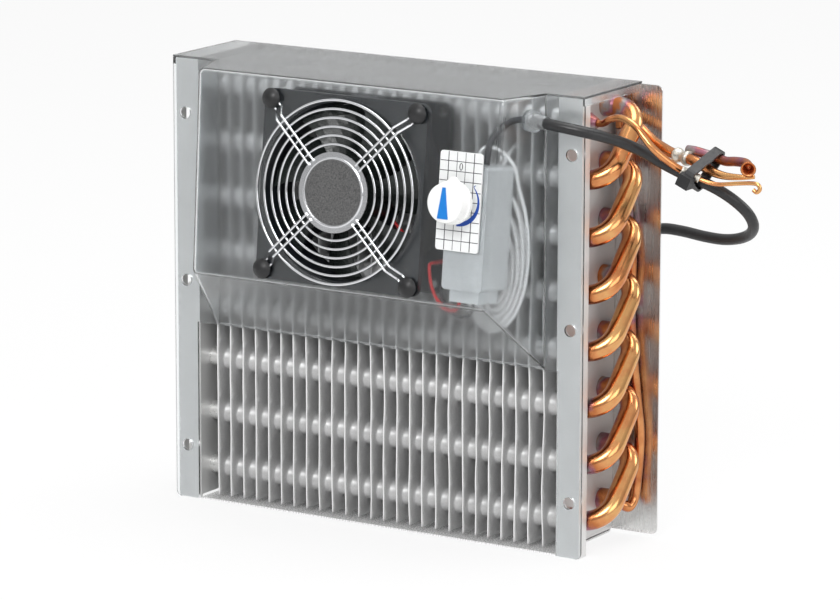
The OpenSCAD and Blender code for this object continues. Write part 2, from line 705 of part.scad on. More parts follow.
module fan_impeller() color([0.1, 0.13, 0.12])
    on_fan()
        translate([0, 0, hub_z - hub_h]) {
            difference() {
                cylinder(d = hub_d, h = hub_h, $fn = 64);
                translate([0, 0, -cut])
                    cylinder(r = hub_d / 2 - hub_wall, h = hub_h - hub_wall + cut, $fn = 64);
            }
            difference() {
                translate([0, 0, hub_h - hub_wall - boss_h])
                    cylinder(d = 2 * shaft_d + hub_wall / 2, h = boss_h + hub_wall / 2);
                translate([0, 0, hub_h - hub_wall - boss_h - cut])
                    cylinder(r = shaft_d / 2 + fit_gap, h = boss_h + cut);
            }
            for (i = [0 : blades_n - 1])
                rotate(360 / blades_n * i)
                    translate([0, 0, hub_h / 2])
                        blade();
        }
shaft_tip = 1.5;
shaft_l = hub_h - shaft_tip;
module fan_shaft() color("silver")
    on_fan()
        translate([0, 0, hub_z - hub_wall - shaft_l - fit_gap])
            cylinder(d = shaft_d, h = shaft_l);
module fan_magnet() color([0.25, 0.23, 0.22])
    on_fan()
        translate([0, 0, hub_z - hub_h + magnet_inset])
            difference() {
                cylinder(r = hub_d / 2 - hub_wall - fit_gap, h = magnet_h);
                translate([0, 0, -cut])
                    cylinder(r = hub_d / 2 - hub_wall - magnet_t, h = hub_h);
            }
stator_r = hub_d / 2 - hub_wall - magnet_t - 0.6;
stator_h = 7;
stator_z = base_t + 3;
pole_w = 4;
shoe_t = 1.6;
module fan_stator() color([0.45, 0.45, 0.47])
    in_fan(stator_z)
        linear_extrude(stator_h)
            difference() {
                union() {
                    circle(r = post_r + 2);
                    difference() {
                        circle(r = stator_r);
                        circle(r = stator_r - shoe_t);
                        for (q = [0 : 3])
                            rotate(90 * q + 45)
                                translate([0, -1])
                                    square([2 * stator_r, 2]);
                    }
                    for (q = [0 : 3])
                        rotate(90 * q)
                            translate([0, -pole_w / 2])
                                square([stator_r - shoe_t / 2, pole_w]);
                }
                circle(r = post_r + seat_gap);
            }
winding_t = 1.3;
winding_inset = 2.2;
module fan_windings() color("chocolate")
    in_fan(stator_z)
        for (q = [0 : 3])
            rotate(90 * q)
                translate([post_r + winding_inset, 0, 0])
                    difference() {
                        translate([0, -pole_w / 2 - winding_t, -winding_t])
                            cube([stator_r - shoe_t - post_r - winding_inset - 0.4, pole_w + 2 * winding_t, stator_h + 2 * winding_t]);
                        translate([-cut, -pole_w / 2 - seat_gap, -seat_gap])
                            cube([stator_r, pole_w + 2 * seat_gap, stator_h + 2 * seat_gap]);
                    }
bearing_h = 4;
module fan_bearings() color("darkgoldenrod")
    for (z = [base_t / 2 + 1.6, post_h - bearing_h - 0.3])
        in_fan(z)
            difference() {
                cylinder(r = post_bore_r - fit_gap, h = bearing_h);
                translate([0, 0, -cut])
                    cylinder(r = shaft_d / 2 + running_gap, h = bearing_h + 2 * cut);
            }
clip_t = 0.5;
module shaft_clip() color("white")
    in_fan(base_t / 2 + 0.9)
        difference() {
            cylinder(r = 3, h = clip_t);
            translate([0, 0, -cut])
                cylinder(r = shaft_d / 2 + fit_gap, h = clip_t + 2 * cut);
        }

// Finger guard: rings, spokes of two wires laid over them, and an eye at each corner
wire_r = wire_d / 2;
eye_r = rivet_d / 2 + wire_r + 0.25;
eye_z = wire_r + seat_gap;
// The spokes' flat ends under the rivet heads are thinner than the wire
foot_share = 0.8;
spoke_z = guard_h + 0.9 * wire_d;
corner_r = fan_hole_pitch / 2 * sqrt(2);
spoke_bend_r = corner_r - 12;
spoke_low_r = corner_r - rivet_head_d / 2 - wire_d;
spoke_end_r = corner_r - sqrt(eye_r * eye_r - spoke_gap * spoke_gap / 4);
disc_t = 1;
boss_r = 16.4;
module wire_ring(r, z)
    translate([0, 0, z])
        rotate_extrude($fn = 96)
            translate([r, 0])
                circle(r = wire_r, $fn = 16);
// A straight wire between two points of a radial plane
module spoke_wire(a, b) {
    run = b - a;
    translate([a[0], 0, a[1]])
        rotate([0, 90 - atan2(run[1], run[0]), 0])
            cylinder(r = wire_r, h = norm(run), $fn = 16);
    translate([b[0], 0, b[1]])
        sphere(r = wire_r, $fn = 16);
}
module finger_guard() color([0.12, 0.12, 0.13])
    on_fan() {
        for (i = [0 : rings_n - 1])
            wire_ring(guard_r - i * ring_step, guard_h);
        translate([0, 0, guard_h])
            cylinder(r = disc_r, h = disc_t, $fn = 64);
        wire_ring(boss_r, guard_h + disc_t);
        for (q = [0 : 3])
            rotate(90 * q + 45) {
                for (s = [-1, 1])
                    translate([0, s * spoke_gap / 2, 0]) {
                        spoke_wire([disc_r - 1.2, spoke_z], [spoke_bend_r, spoke_z]);
                        spoke_wire([spoke_bend_r, spoke_z], [spoke_low_r, eye_z]);
                        translate([spoke_low_r, 0, eye_z])
                            rotate([0, 90, 0])
                                cylinder(r = foot_share * wire_r, h = spoke_end_r - spoke_low_r, $fn = 16);
                    }
                translate([corner_r, 0, eye_z])
                    rotate_extrude($fn = 48)
                        translate([eye_r, 0])
                            circle(r = wire_r, $fn = 16);
            }
    }
// Push rivets: a domed head over the eye, a shank through cover and frame, and spread ends
rivet_dome = 2.6;
rivet_grip = cover_t + seat_gap + fan_flange_t;
rivet_tip = 3;
module guard_rivets() color([0.08, 0.08, 0.08])
    on_fan()
        at_fan_corners()
            translate([0, 0, 2 * wire_r + 2 * seat_gap]) {
                rivet_sphere_r = (pow(rivet_head_d / 2, 2) + pow(rivet_dome, 2)) / (2 * rivet_dome);
                intersection() {
                    translate([0, 0, rivet_dome - rivet_sphere_r])
                        sphere(r = rivet_sphere_r, $fn = 48);
                    cylinder(d = rivet_head_d, h = rivet_dome);
                }
                translate([0, 0, -rivet_grip - 2 * wire_r - rivet_tip])
                    cylinder(d = rivet_d, h = rivet_grip + 2 * wire_r + rivet_tip + rivet_dome / 2, $fn = 24);
            }

// Thermostat: body behind the face, bush through it, dial plate in front, knob on the spindle
bush_d = 10;
bush_h = 4;
body_up = 17;
body_z = -cover_t - seat_gap - thermo_d;
thermo_corner_r = 2;
terminal_h = 6;
terminal_inset = 3;
body_shift = 3;
nipple_x = 1;
nipple_r = 2.2;
nipple_l = 2;
nipple_depth = 12.5;
spindle_room = 6;
module thermostat_body() color("whitesmoke")
    on_thermostat()
        translate([body_shift, body_up - thermo_h / 2, body_z]) {
            difference() {
                union() {
                    linear_extrude(thermo_d)
                        polygon(round_rect(thermo_w, thermo_h, thermo_corner_r));
                    translate([0, -thermo_h / 2 - terminal_h / 2 + cut / 2, terminal_inset])
                        linear_extrude(thermo_d - 2 * terminal_inset)
                            square([thermo_w - 2 * terminal_inset, terminal_h + cut], center = true);
                    translate([nipple_x - body_shift, thermo_h / 2, thermo_d - nipple_depth])
                        rotate([-90, 0, 0])
                            cylinder(r = nipple_r, h = nipple_l);
                }
                translate([-body_shift, thermo_h / 2 - body_up, thermo_d - spindle_room])
                    cylinder(d = spindle_d + 1, h = spindle_room + cut);
            }
        }
module thermostat_bush() color("silver")
    on_thermostat()
        translate([0, 0, -cover_t])
            difference() {
                cylinder(d = bush_d, h = cover_t + dial_t + 0.6);
                translate([0, 0, -cut])
                    cylinder(r = spindle_d / 2 + running_gap, h = bush_h + 2 * cut);
            }
dial_corner_r = 1.5;
module thermostat_dial() color("white")
    on_thermostat()
        translate([0, 0, seat_gap])
            linear_extrude(dial_t)
                difference() {
                    polygon(round_rect(dial_w, dial_h, dial_corner_r));
                    circle(d = bush_d + 2 * seat_gap);
                }
knob_gap = 5.2;
knob_z = dial_t + seat_gap + knob_gap;
nub_w = 5.4;
nub_tip_w = 0.6;
nub_low = 8;
nub_l = 1.6;
skirt_h = 2.2;
knob_chamfer_h = 0.8;
knob_foot_d = knob_d - 1;
knob_top_d = knob_d - 2.4;
knob_face_d = knob_d - 4;
knob_bore_end = 2;
module thermostat_knob() color("white")
    on_thermostat()
        translate([0, 0, knob_z])
            difference() {
                union() {
                    cylinder(d = knob_d, h = skirt_h, $fn = 72);
                    translate([0, 0, skirt_h])
                        cylinder(d1 = knob_foot_d, d2 = knob_top_d, h = knob_h - skirt_h - knob_chamfer_h, $fn = 72);
                    translate([0, 0, knob_h - knob_chamfer_h])
                        cylinder(d1 = knob_top_d, d2 = knob_face_d, h = knob_chamfer_h, $fn = 72);
                    linear_extrude(skirt_h)
                        polygon([[-nub_w, nub_low], [nub_w, nub_low], [nub_tip_w, knob_d / 2 + nub_l], [-nub_tip_w, knob_d / 2 + nub_l]]);
                }
                translate([0, 0, -cut])
                    cylinder(r = spindle_d / 2 + fit_gap, h = knob_h - knob_bore_end + cut);
            }
// Half widths of the pointer's wedge, and how far it reaches each way
pointer_low_w = 2.9;
pointer_top_w = 0.8;
pointer_reach = 7.4;
pointer_t = 0.4;
module knob_pointer() color("steelblue")
    on_thermostat()
        translate([0, 0, knob_z + knob_h + seat_gap])
            linear_extrude(pointer_t)
                polygon([[-pointer_low_w, -pointer_reach], [pointer_low_w, -pointer_reach], [pointer_top_w, pointer_reach],
                    [-pointer_top_w, pointer_reach]]);
spindle_back = 5;
module thermostat_spindle() color("gray")
    on_thermostat()
        translate([0, 0, -cover_t - spindle_back])
            cylinder(d = spindle_d, h = cover_t + spindle_back + knob_z + knob_h - knob_bore_end - 2 * seat_gap);

// Sensing tube: loops that share their bottom, wound inward in one layer and out again in the next
sensor_x = thermo_x + 2;
sensor_low = hood_bottom_z + 16.3;
sensor_high = case_h - 33;
sensor_half_w = 20;
sensor_step = 2.9;
sensor_low_step = 3.2;
sensor_top_step = 9.6;
sensor_front_y = front_y - 5.2;
sensor_layer = 2.9;
loop_rings = 24;
// u counts turns from the outer loop, y is the layer
function sensor_point(u, turn, y) = let (
        low = sensor_low + sensor_low_step * u,
        high = sensor_high - sensor_top_step * u,
        w = sensor_half_w - sensor_step * u)
    [sensor_x + w * sin(360 * turn), y, (low + high) / 2 + (high - low) / 2 * cos(360 * turn)];
half_loops = sensor_loops / 2;
// The turns run clockwise from the top: in through the front layer, half a turn to the back one, and out
sensor_in = [for (k = [3 : half_loops * loop_rings]) sensor_point(k / loop_rings, k / loop_rings, sensor_front_y)];
sensor_climb = [for (k = [1 : loop_rings / 2]) let (f = 2 * k / loop_rings)
    sensor_point(half_loops + 0.25 - abs(f / 2 - 0.25), half_loops + f / 2,
        sensor_front_y + sensor_layer * (1 - cos(180 * f)) / 2)];
sensor_out = [for (k = [1 : (half_loops - 0.5) * loop_rings]) let (t = k / loop_rings)
    sensor_point(half_loops - t, half_loops + 0.5 + t, sensor_front_y + sensor_layer)];
sensor_lead = in_hood([[69.5, -43.7, 192], [69.7, -43.2, 195], [71.6, -42.2, 197.8], [75, -40.2, 198.2], [78.6, -37.4, 195.4],
    [81.6, -34.6, 190.6], [83.2, -33.2, 185.4]], drawn_thermo, drawn_hood, thermo_x, hood_side);
sensor_tail = in_hood([[72.6, -29.7, 186.2], [73.4, -28.6, 187.8], [73.2, -25.4, 190.6], [73.2, -20.6, 193.6], [73.2, -15, 195.6],
    [73.2, -8, 196]], drawn_thermo, drawn_hood, thermo_x, hood_side);
sensor_path = concat(sensor_lead, sensor_in, sensor_climb, sensor_out, sensor_tail);
sensor_gap = min([for (i = [0 : len(sensor_path) - 1]) for (j = [i + 8 : 1 : len(sensor_path) - 1])
    norm(sensor_path[i] - sensor_path[j])]) - sensor_d;
echo(sensing_tube_least_gap = sensor_gap);
module sensing_tube() color("gainsboro") rod(sensor_path, sensor_d, 6, [0, 1, 0]);

// Leads between the fan, the thermostat and the cable
red_route = in_hood([[14.4, -33.8, 156.4], [27.6, -35, 145.4], [39.6, -35.4, 140.4], [46.4, -35.4, 139.8], [49.6, -37, 140],
    [49.8, -42, 140.8], [49.8, -49.8, 141.6], [50, -55.8, 141.8], [50.6, -57, 138], [50.8, -55.6, 131.6],
    [52, -52.8, 124.8], [56.4, -51.2, 120.6], [61.6, -50.8, 121], [63.6, -50.4, 124.8]], drawn_fan, drawn_thermo, fan_x, thermo_x);
dark_route = in_hood([[13.6, -34.2, 153.4], [26.4, -35.6, 139.6], [38.4, -36.2, 132], [46, -36.4, 130.8], [49.6, -38, 130.8],
    [50, -43, 130.8], [50.6, -47.4, 127.8], [54.4, -48.2, 120.8], [61.6, -47.6, 116.6], [67.6, -47.2, 119],
    [68.8, -46.8, 124.4]], drawn_fan, drawn_thermo, fan_x, thermo_x);
supply_route = in_hood([[91.9, -35.4, 211.8], [86, -35.4, 211.7], [81, -36.6, 210], [77, -39.5, 205.6], [75, -43, 200],
    [74.5, -45, 190.4]], drawn_thermo, drawn_hood, thermo_x, hood_side);
module red_lead() color("firebrick") rod(curve(red_route, 2), lead_d, 8, [0, 1, 0]);
module dark_lead() color([0.2, 0.2, 0.2]) rod(curve(dark_route, 2), lead_d, 8, [0, 1, 0]);
module supply_lead() color([0.25, 0.25, 0.25]) rod(curve(supply_route, 2), 2 * lead_d, 8, [0, 1, 0]);

// Cable, grommet, stored coil and connector
grommet_depth = 8.5;
grommet_z = case_h - 12.2;
grommet_neck_d = 8;
grommet_head_d = 10.5;
grommet_tail = 9;
module on_grommet()
    translate([hood_shift + hood_w / 2 - hood_draft_share * grommet_depth, front_y - grommet_depth, grommet_z])
        rotate([0, 90, -hood_draft])
            children();
module cable_grommet() color([0.1, 0.1, 0.1])
    on_grommet()
        difference() {
            union() {
                translate([0, 0, -cover_t - 1.6 - seat_gap])
                    cylinder(d = grommet_head_d, h = 1.6);
                translate([0, 0, -cover_t - 1])
                    cylinder(d = grommet_neck_d, h = cover_t + 2);
                translate([0, 0, seat_gap])
                    cylinder(d = grommet_head_d, h = 1.6);
                cylinder(d1 = grommet_neck_d, d2 = cable_d + 1, h = grommet_tail);
            }
            translate([0, 0, -cut - 5])
                cylinder(d = cable_d + 2 * seat_gap, h = grommet_tail + 10 + cut);
        }
module supply_cable() color([0.17, 0.17, 0.17]) rod(curve(cable_route, 2), cable_d, 8, [0, 1, 0]);
// The stored turns lie flat on the ground behind the case, spiral in below and out above
coil_r = 36;
coil_lead = 6;
coil_at = cable_route[len(cable_route) - 1] + [-coil_lead, coil_r, 0];
coil_step = cable_d + 0.6;
function coil_point(r, turn, z) = coil_at + [-r * sin(360 * turn), -r * cos(360 * turn), z];
coil_low = [for (k = [0 : cable_turns * loop_rings]) let (t = k / loop_rings)
    coil_point(coil_r - coil_step * t, t, 0)];
coil_climb = [for (k = [1 : loop_rings / 2]) let (f = 2 * k / loop_rings)
    coil_point(coil_r - coil_step * (cable_turns + 0.25 - abs(f / 2 - 0.25)), cable_turns + f / 2,
        coil_step * (1 - cos(180 * f)) / 2)];
coil_high = [for (k = [1 : (cable_turns - 0.5) * loop_rings]) let (t = k / loop_rings)
    coil_point(coil_r - coil_step * (cable_turns - t), cable_turns + 0.5 + t, coil_step)];
coil_end = coil_high[len(coil_high) - 1];
coil_path = concat([coil_at + [coil_lead, -coil_r, 0]], coil_low, coil_climb, coil_high,
    [coil_end - [coil_lead, 0, 0], coil_end - [2 * coil_lead, 0, 0]]);
coil_gap = min([for (i = [0 : len(coil_path) - 1]) for (j = [i + 10 : 1 : len(coil_path) - 1])
    norm(coil_path[i] - coil_path[j])]) - cable_d;
echo(cable_coil_least_gap = coil_gap, cable_coil_length = along(coil_path), cable_length = along(curve(cable_route, 2)));
module cable_coil() color([0.17, 0.17, 0.17]) rod(coil_path, cable_d, 6, [0, 0, 1]);
plug_l = 20;
plug_w = 10;
plug_h = 6;
plug_wall = 1;
latch_l = 8;
latch_w = 4;
module cable_connector() color("white")
    translate(coil_end - [2 * coil_lead, 0, 0])
        difference() {
            union() {
                translate([-plug_l, -plug_w / 2, -plug_h / 2])
                    cube([plug_l, plug_w, plug_h]);
                translate([-plug_l / 2, -latch_w / 2, plug_h / 2])
                    cube([latch_l, latch_w, plug_wall]);
            }
            for (s = [-1, 1])
                translate([-plug_l - cut, s * plug_w / 4 - 1.4, -1.4])
                    cube([plug_l / 2 + cut, 2.8, 2.8]);
        }

rear_panel();
left_end_plate();
right_end_plate();
front_cover();
fins();
hairpin_tubes();
return_bends();
tube_bells();
reducers();
suction_riser();
suction_line();
suction_sleeve();
suction_tail();
process_tube();
inlet_line();
inlet_sleeve();
capillary_tail();
cable_tie();
fan_frame();
fan_stator();
fan_windings();
fan_bearings();
fan_impeller();
fan_shaft();
fan_magnet();
shaft_clip();
finger_guard();
guard_rivets();
thermostat_body();
thermostat_bush();
thermostat_dial();
thermostat_knob();
knob_pointer();
thermostat_spindle();
sensing_tube();
red_lead();
dark_lead();
supply_lead();
cable_grommet();
supply_cable();
cable_coil();
cable_connector();
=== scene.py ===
import math

import bmesh
import bpy
from mathutils import Matrix, Vector


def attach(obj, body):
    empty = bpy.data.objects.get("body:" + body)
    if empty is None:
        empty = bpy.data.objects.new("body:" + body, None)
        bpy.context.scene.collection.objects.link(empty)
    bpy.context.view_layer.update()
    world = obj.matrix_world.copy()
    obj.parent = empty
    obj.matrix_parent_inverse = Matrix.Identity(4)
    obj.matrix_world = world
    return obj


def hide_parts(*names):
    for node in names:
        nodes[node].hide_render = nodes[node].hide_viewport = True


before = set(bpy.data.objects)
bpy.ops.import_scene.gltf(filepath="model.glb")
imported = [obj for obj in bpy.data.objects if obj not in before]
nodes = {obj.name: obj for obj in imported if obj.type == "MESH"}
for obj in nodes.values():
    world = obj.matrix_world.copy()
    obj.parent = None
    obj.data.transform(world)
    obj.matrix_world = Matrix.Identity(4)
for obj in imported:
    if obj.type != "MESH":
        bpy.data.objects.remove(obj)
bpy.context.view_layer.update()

mm = 0.001
print("frame loaded with", len(nodes), "nodes")

# The camera stands where the photograph was taken from
cameraSettings = {
    "position": (1.1957, -1.9097, 0.5904), "target": (0.02669, -0.0275, 0.11673), "lens": 201.43, "roll": 0.13,
}


def makeCamera(settings):
    data = bpy.data.cameras.new("photoCamera")
    data.lens = settings["lens"]
    data.sensor_width = 36
    data.clip_start = 0.05
    camera = bpy.data.objects.new("photoCamera", data)
    bpy.context.scene.collection.objects.link(camera)
    look = Vector(settings["target"]) - Vector(settings["position"])
    facing = look.to_track_quat("-Z", "Y").to_matrix().to_4x4()
    turned = facing @ Matrix.Rotation(math.radians(settings["roll"]), 4, "Z")
    camera.matrix_world = Matrix.Translation(settings["position"]) @ turned
    bpy.context.scene.camera = camera


makeCamera(cameraSettings)


# Points of the routes are in mm, as in the CAD source, and come out in metres
def smoothPath(points, steps):
    points = [Vector(p) * mm for p in points]
    last = len(points) - 1
    line = []
    for i in range(last):
        a, b, c, d = points[max(i - 1, 0)], points[i], points[i + 1], points[min(i + 2, last)]
        for k in range(steps):
            t = k / steps
            first = 2 * b + (c - a) * t
            second = (2 * a - 5 * b + 4 * c - d) * t * t
            third = (3 * b - a - 3 * c + d) * t ** 3
            line.append((first + second + third) / 2)
    line.append(points[-1])
    return line


def pathLength(line):
    return sum((b - a).length for a, b in zip(line, line[1:]))


# Face of the hood: x across, y up along the face, z out of it
faceSettings = {"front": -27.5, "topOut": 26.5, "height": 224, "tilt": 6.2}


def onFace(x, drop):
    tilt = math.radians(faceSettings["tilt"])
    across = Vector((1, 0, 0))
    up = Vector((0, math.sin(tilt), math.cos(tilt)))
    out = Vector((0, -math.cos(tilt), math.sin(tilt)))
    place = Vector((x, faceSettings["front"] - faceSettings["topOut"] - drop * math.sin(tilt),
        faceSettings["height"] - drop * math.cos(tilt))) * mm
    turn = Matrix((across, up, out)).transposed().to_4x4()
    return Matrix.Translation(place) @ turn @ Matrix.Scale(mm, 4)


fanPlace = onFace(1.5, 52)
dialPlace = onFace(68.5, 49.8)


# Meshes
def newPiece(name, points, faces, smooth=True, place=None):
    mesh = bpy.data.meshes.new(name)
    mesh.from_pydata([tuple(place @ Vector(p)) if place else tuple(p) for p in points], [], faces)
    mesh.validate()
    piece = bpy.data.objects.new(name, mesh)
    bpy.context.scene.collection.objects.link(piece)
    mesh.polygons.foreach_set("use_smooth", [smooth] * len(mesh.polygons))
    return piece


def dress(piece, material, body, slotName, *replaced):
    piece.data.materials.clear()
    piece.data.materials.append(material)
    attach(piece, body)
    if replaced:
        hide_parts(*replaced)
    return piece


def plainMesh(source, name):
    # the evaluated result becomes a plain mesh, and the object with the modifier goes
    bpy.context.view_layer.update()
    graph = bpy.context.evaluated_depsgraph_get()
    mesh = bpy.data.meshes.new_from_object(source.evaluated_get(graph))
    bpy.data.objects.remove(source)
    piece = bpy.data.objects.new(name, mesh)
    mesh.name = name
    bpy.context.scene.collection.objects.link(piece)
    return piece


# A tube of any radius along a line, with closed ends; radii is one number or one for each point
def tubeMesh(name, line, radii, sides=20, lead=Vector((0, 1, 0)), hollow=0.0, depth=0):
    count = len(line)
    if not hasattr(radii, "__len__"):
        radii = [radii] * count
    heads = [(line[min(i + 1, count - 1)] - line[max(i - 1, 0)]).normalized() for i in range(count)]
    side = (lead - heads[0] * lead.dot(heads[0])).normalized()
    stations = []
    for i in range(count):
        side = (side - heads[i] * side.dot(heads[i])).normalized()
        stations.append((line[i], heads[i], side, radii[i]))
    rings = list(stations)
    if hollow:
        rings += [(p, h, s, r - hollow) for p, h, s, r in reversed(stations[-depth:])]
    points = []
    for p, h, s, r in rings:
        other = h.cross(s)
        turns = [2 * math.pi * k / sides for k in range(sides)]
        points += [p + r * (math.cos(a) * s + math.sin(a) * other) for a in turns]
    faces = []
    for i in range(len(rings) - 1):
        for k in range(sides):
            a, b = i * sides + k, i * sides + (k + 1) % sides
            faces.append((a, b, b + sides, a + sides))
    last = (len(rings) - 1) * sides
    faces.append(tuple(reversed(range(sides))))
    faces.append(tuple(range(last, last + sides)))
    return newPiece(name, points, faces)


print("helpers ready")


# Shared shader groups: each puts out colours, masks or normals only
def newGroup(name, inputs, outputs):
    group = bpy.data.node_groups.new(name, "ShaderNodeTree")
    for label, kind, value in inputs:
        socket = group.interface.new_socket(name=label, in_out="INPUT", socket_type=kind)
        if value is not None:
            socket.default_value = value
    for label, kind in outputs:
        group.interface.new_socket(name=label, in_out="OUTPUT", socket_type=kind)
    start = group.nodes.new("NodeGroupInput")
    end = group.nodes.new("NodeGroupOutput")
    return group, start, end


def addNode(tree, kind, **settings):
    node = tree.nodes.new(kind)
    for key, value in settings.items():
        if key == "inputs":
            for label, v in value.items():
                if isinstance(v, bpy.types.NodeSocket):
                    tree.links.new(v, node.inputs[label])
                else:
                    node.inputs[label].default_value = v
        else:
            setattr(node, key, value)
    return node


def mathNode(tree, operation, a, b=None, c=None, clamp=False):
    node = addNode(tree, "ShaderNodeMath", operation=operation, use_clamp=clamp)
    for i, v in enumerate((a, b, c)):
        if v is None:
            continue
        if isinstance(v, bpy.types.NodeSocket):
            tree.links.new(v, node.inputs[i])
        else:
            node.inputs[i].default_value = v
    return node.outputs[0]


def mixColour(tree, factor, a, b, blend="MIX"):
    node = addNode(tree, "ShaderNodeMix", data_type="RGBA", blend_type=blend)
    for i, v in ((0, factor), (6, a), (7, b)):
        if isinstance(v, bpy.types.NodeSocket):
            tree.links.new(v, node.inputs[i])
        else:
            node.inputs[i].default_value = (*v, 1) if hasattr(v, "__len__") and len(v) == 3 else v
    return node.outputs[2]


def makeGrainGroup():
    # cloudy tone, fine grain and fine scratches drawn out along one direction
    inputs = [
        ("Vector", "NodeSocketVector", None), ("Stretch", "NodeSocketVector", (1.0, 1.0, 1.0)),
        ("Cloud Scale", "NodeSocketFloat", 30.0), ("Grain Scale", "NodeSocketFloat", 900.0),
    ]
    outputs = [("Cloud", "NodeSocketFloat"), ("Grain", "NodeSocketFloat"), ("Lines", "NodeSocketFloat")]
    group, start, end = newGroup("sheetGrain", inputs, outputs)
    cloud = addNode(group, "ShaderNodeTexNoise", inputs={"Vector": start.outputs["Vector"],
        "Scale": start.outputs["Cloud Scale"], "Detail": 4.0, "Roughness": 0.6})
    grain = addNode(group, "ShaderNodeTexNoise", inputs={"Vector": start.outputs["Vector"],
        "Scale": start.outputs["Grain Scale"], "Detail": 2.0, "Roughness": 0.7})
    drawn = addNode(group, "ShaderNodeVectorMath", operation="MULTIPLY",
        inputs={0: start.outputs["Vector"], 1: start.outputs["Stretch"]})
    lines = addNode(group, "ShaderNodeTexNoise", inputs={"Vector": drawn.outputs[0],
        "Scale": start.outputs["Grain Scale"], "Detail": 3.0, "Roughness": 0.6})
    for label, node in (("Cloud", cloud), ("Grain", grain), ("Lines", lines)):
        group.links.new(node.outputs["Fac"], end.inputs[label])
    return group


grainGroup = makeGrainGroup()


def newMaterial(name, colour, metallic, roughness):
    material = bpy.data.materials.new(name)
    material.use_nodes = True
    tree = material.node_tree
    shader = tree.nodes["Principled BSDF"]
    shader.inputs["Base Color"].default_value = (*colour, 1)
    shader.inputs["Metallic"].default_value = metallic
    shader.inputs["Roughness"].default_value = roughness
    material.diffuse_color = (*colour, 1)
    return material, tree, shader


def grained(tree, cloudScale, grainScale, stretch=(1, 1, 1)):
    place = addNode(tree, "ShaderNodeTexCoord")
    grain = tree.nodes.new("ShaderNodeGroup")
    grain.node_tree = grainGroup
    tree.links.new(place.outputs["Object"], grain.inputs["Vector"])
    grain.inputs["Cloud Scale"].default_value = cloudScale
    grain.inputs["Grain Scale"].default_value = grainScale
    grain.inputs["Stretch"].default_value = stretch
    return place.outputs["Object"], grain.outputs


# Noise mostly stays between these two values
noiseBand = (0.3, 0.7)


def ranged(tree, value, low, high, toLow, toHigh):
    limits = {"From Min": low, "From Max": high, "To Min": toLow, "To Max": toHigh}
    return addNode(tree, "ShaderNodeMapRange", inputs={"Value": value, **limits}).outputs[0]


def bump(tree, shader, height, strength, distance):
    node = addNode(tree, "ShaderNodeBump", inputs={"Height": height, "Strength": strength, "Distance": distance})
    tree.links.new(node.outputs[0], shader.inputs["Normal"])


# One recipe covers the plain finishes: a colour, how much it varies, its grain and its relief
def finishMaterial(name, colour, metallic, rough, vary=0.12, cloud=40, grain=900, stretch=(1, 1, 1), relief=0.15,
    reliefSize=0.0001, lines=False):
    material, tree, shader = newMaterial(name, colour, metallic, rough)
    out = grained(tree, cloud, grain, stretch)[1]
    dark = tuple(c * (1 - vary) for c in colour)
    light = tuple(min(1, c * (1 + vary)) for c in colour)
    tone = mixColour(tree, ranged(tree, out["Cloud"], *noiseBand, 0, 1), dark, light)
    speck = ranged(tree, out["Grain"], *noiseBand, 1 - vary, 1 + vary * 0.5)
    tone = mixColour(tree, 1.0, tone, speckColour(tree, speck), "MULTIPLY")
    tree.links.new(tone, shader.inputs["Base Color"])
    texture = out["Lines"] if lines else out["Grain"]
    tree.links.new(ranged(tree, texture, *noiseBand, rough * 0.75, min(1, rough * 1.3)),
        shader.inputs["Roughness"])
    bump(tree, shader, texture, relief, reliefSize)
    return material


def speckColour(tree, value):
    node = addNode(tree, "ShaderNodeCombineColor", inputs={"Red": value, "Green": value, "Blue": value})
    return node.outputs[0]


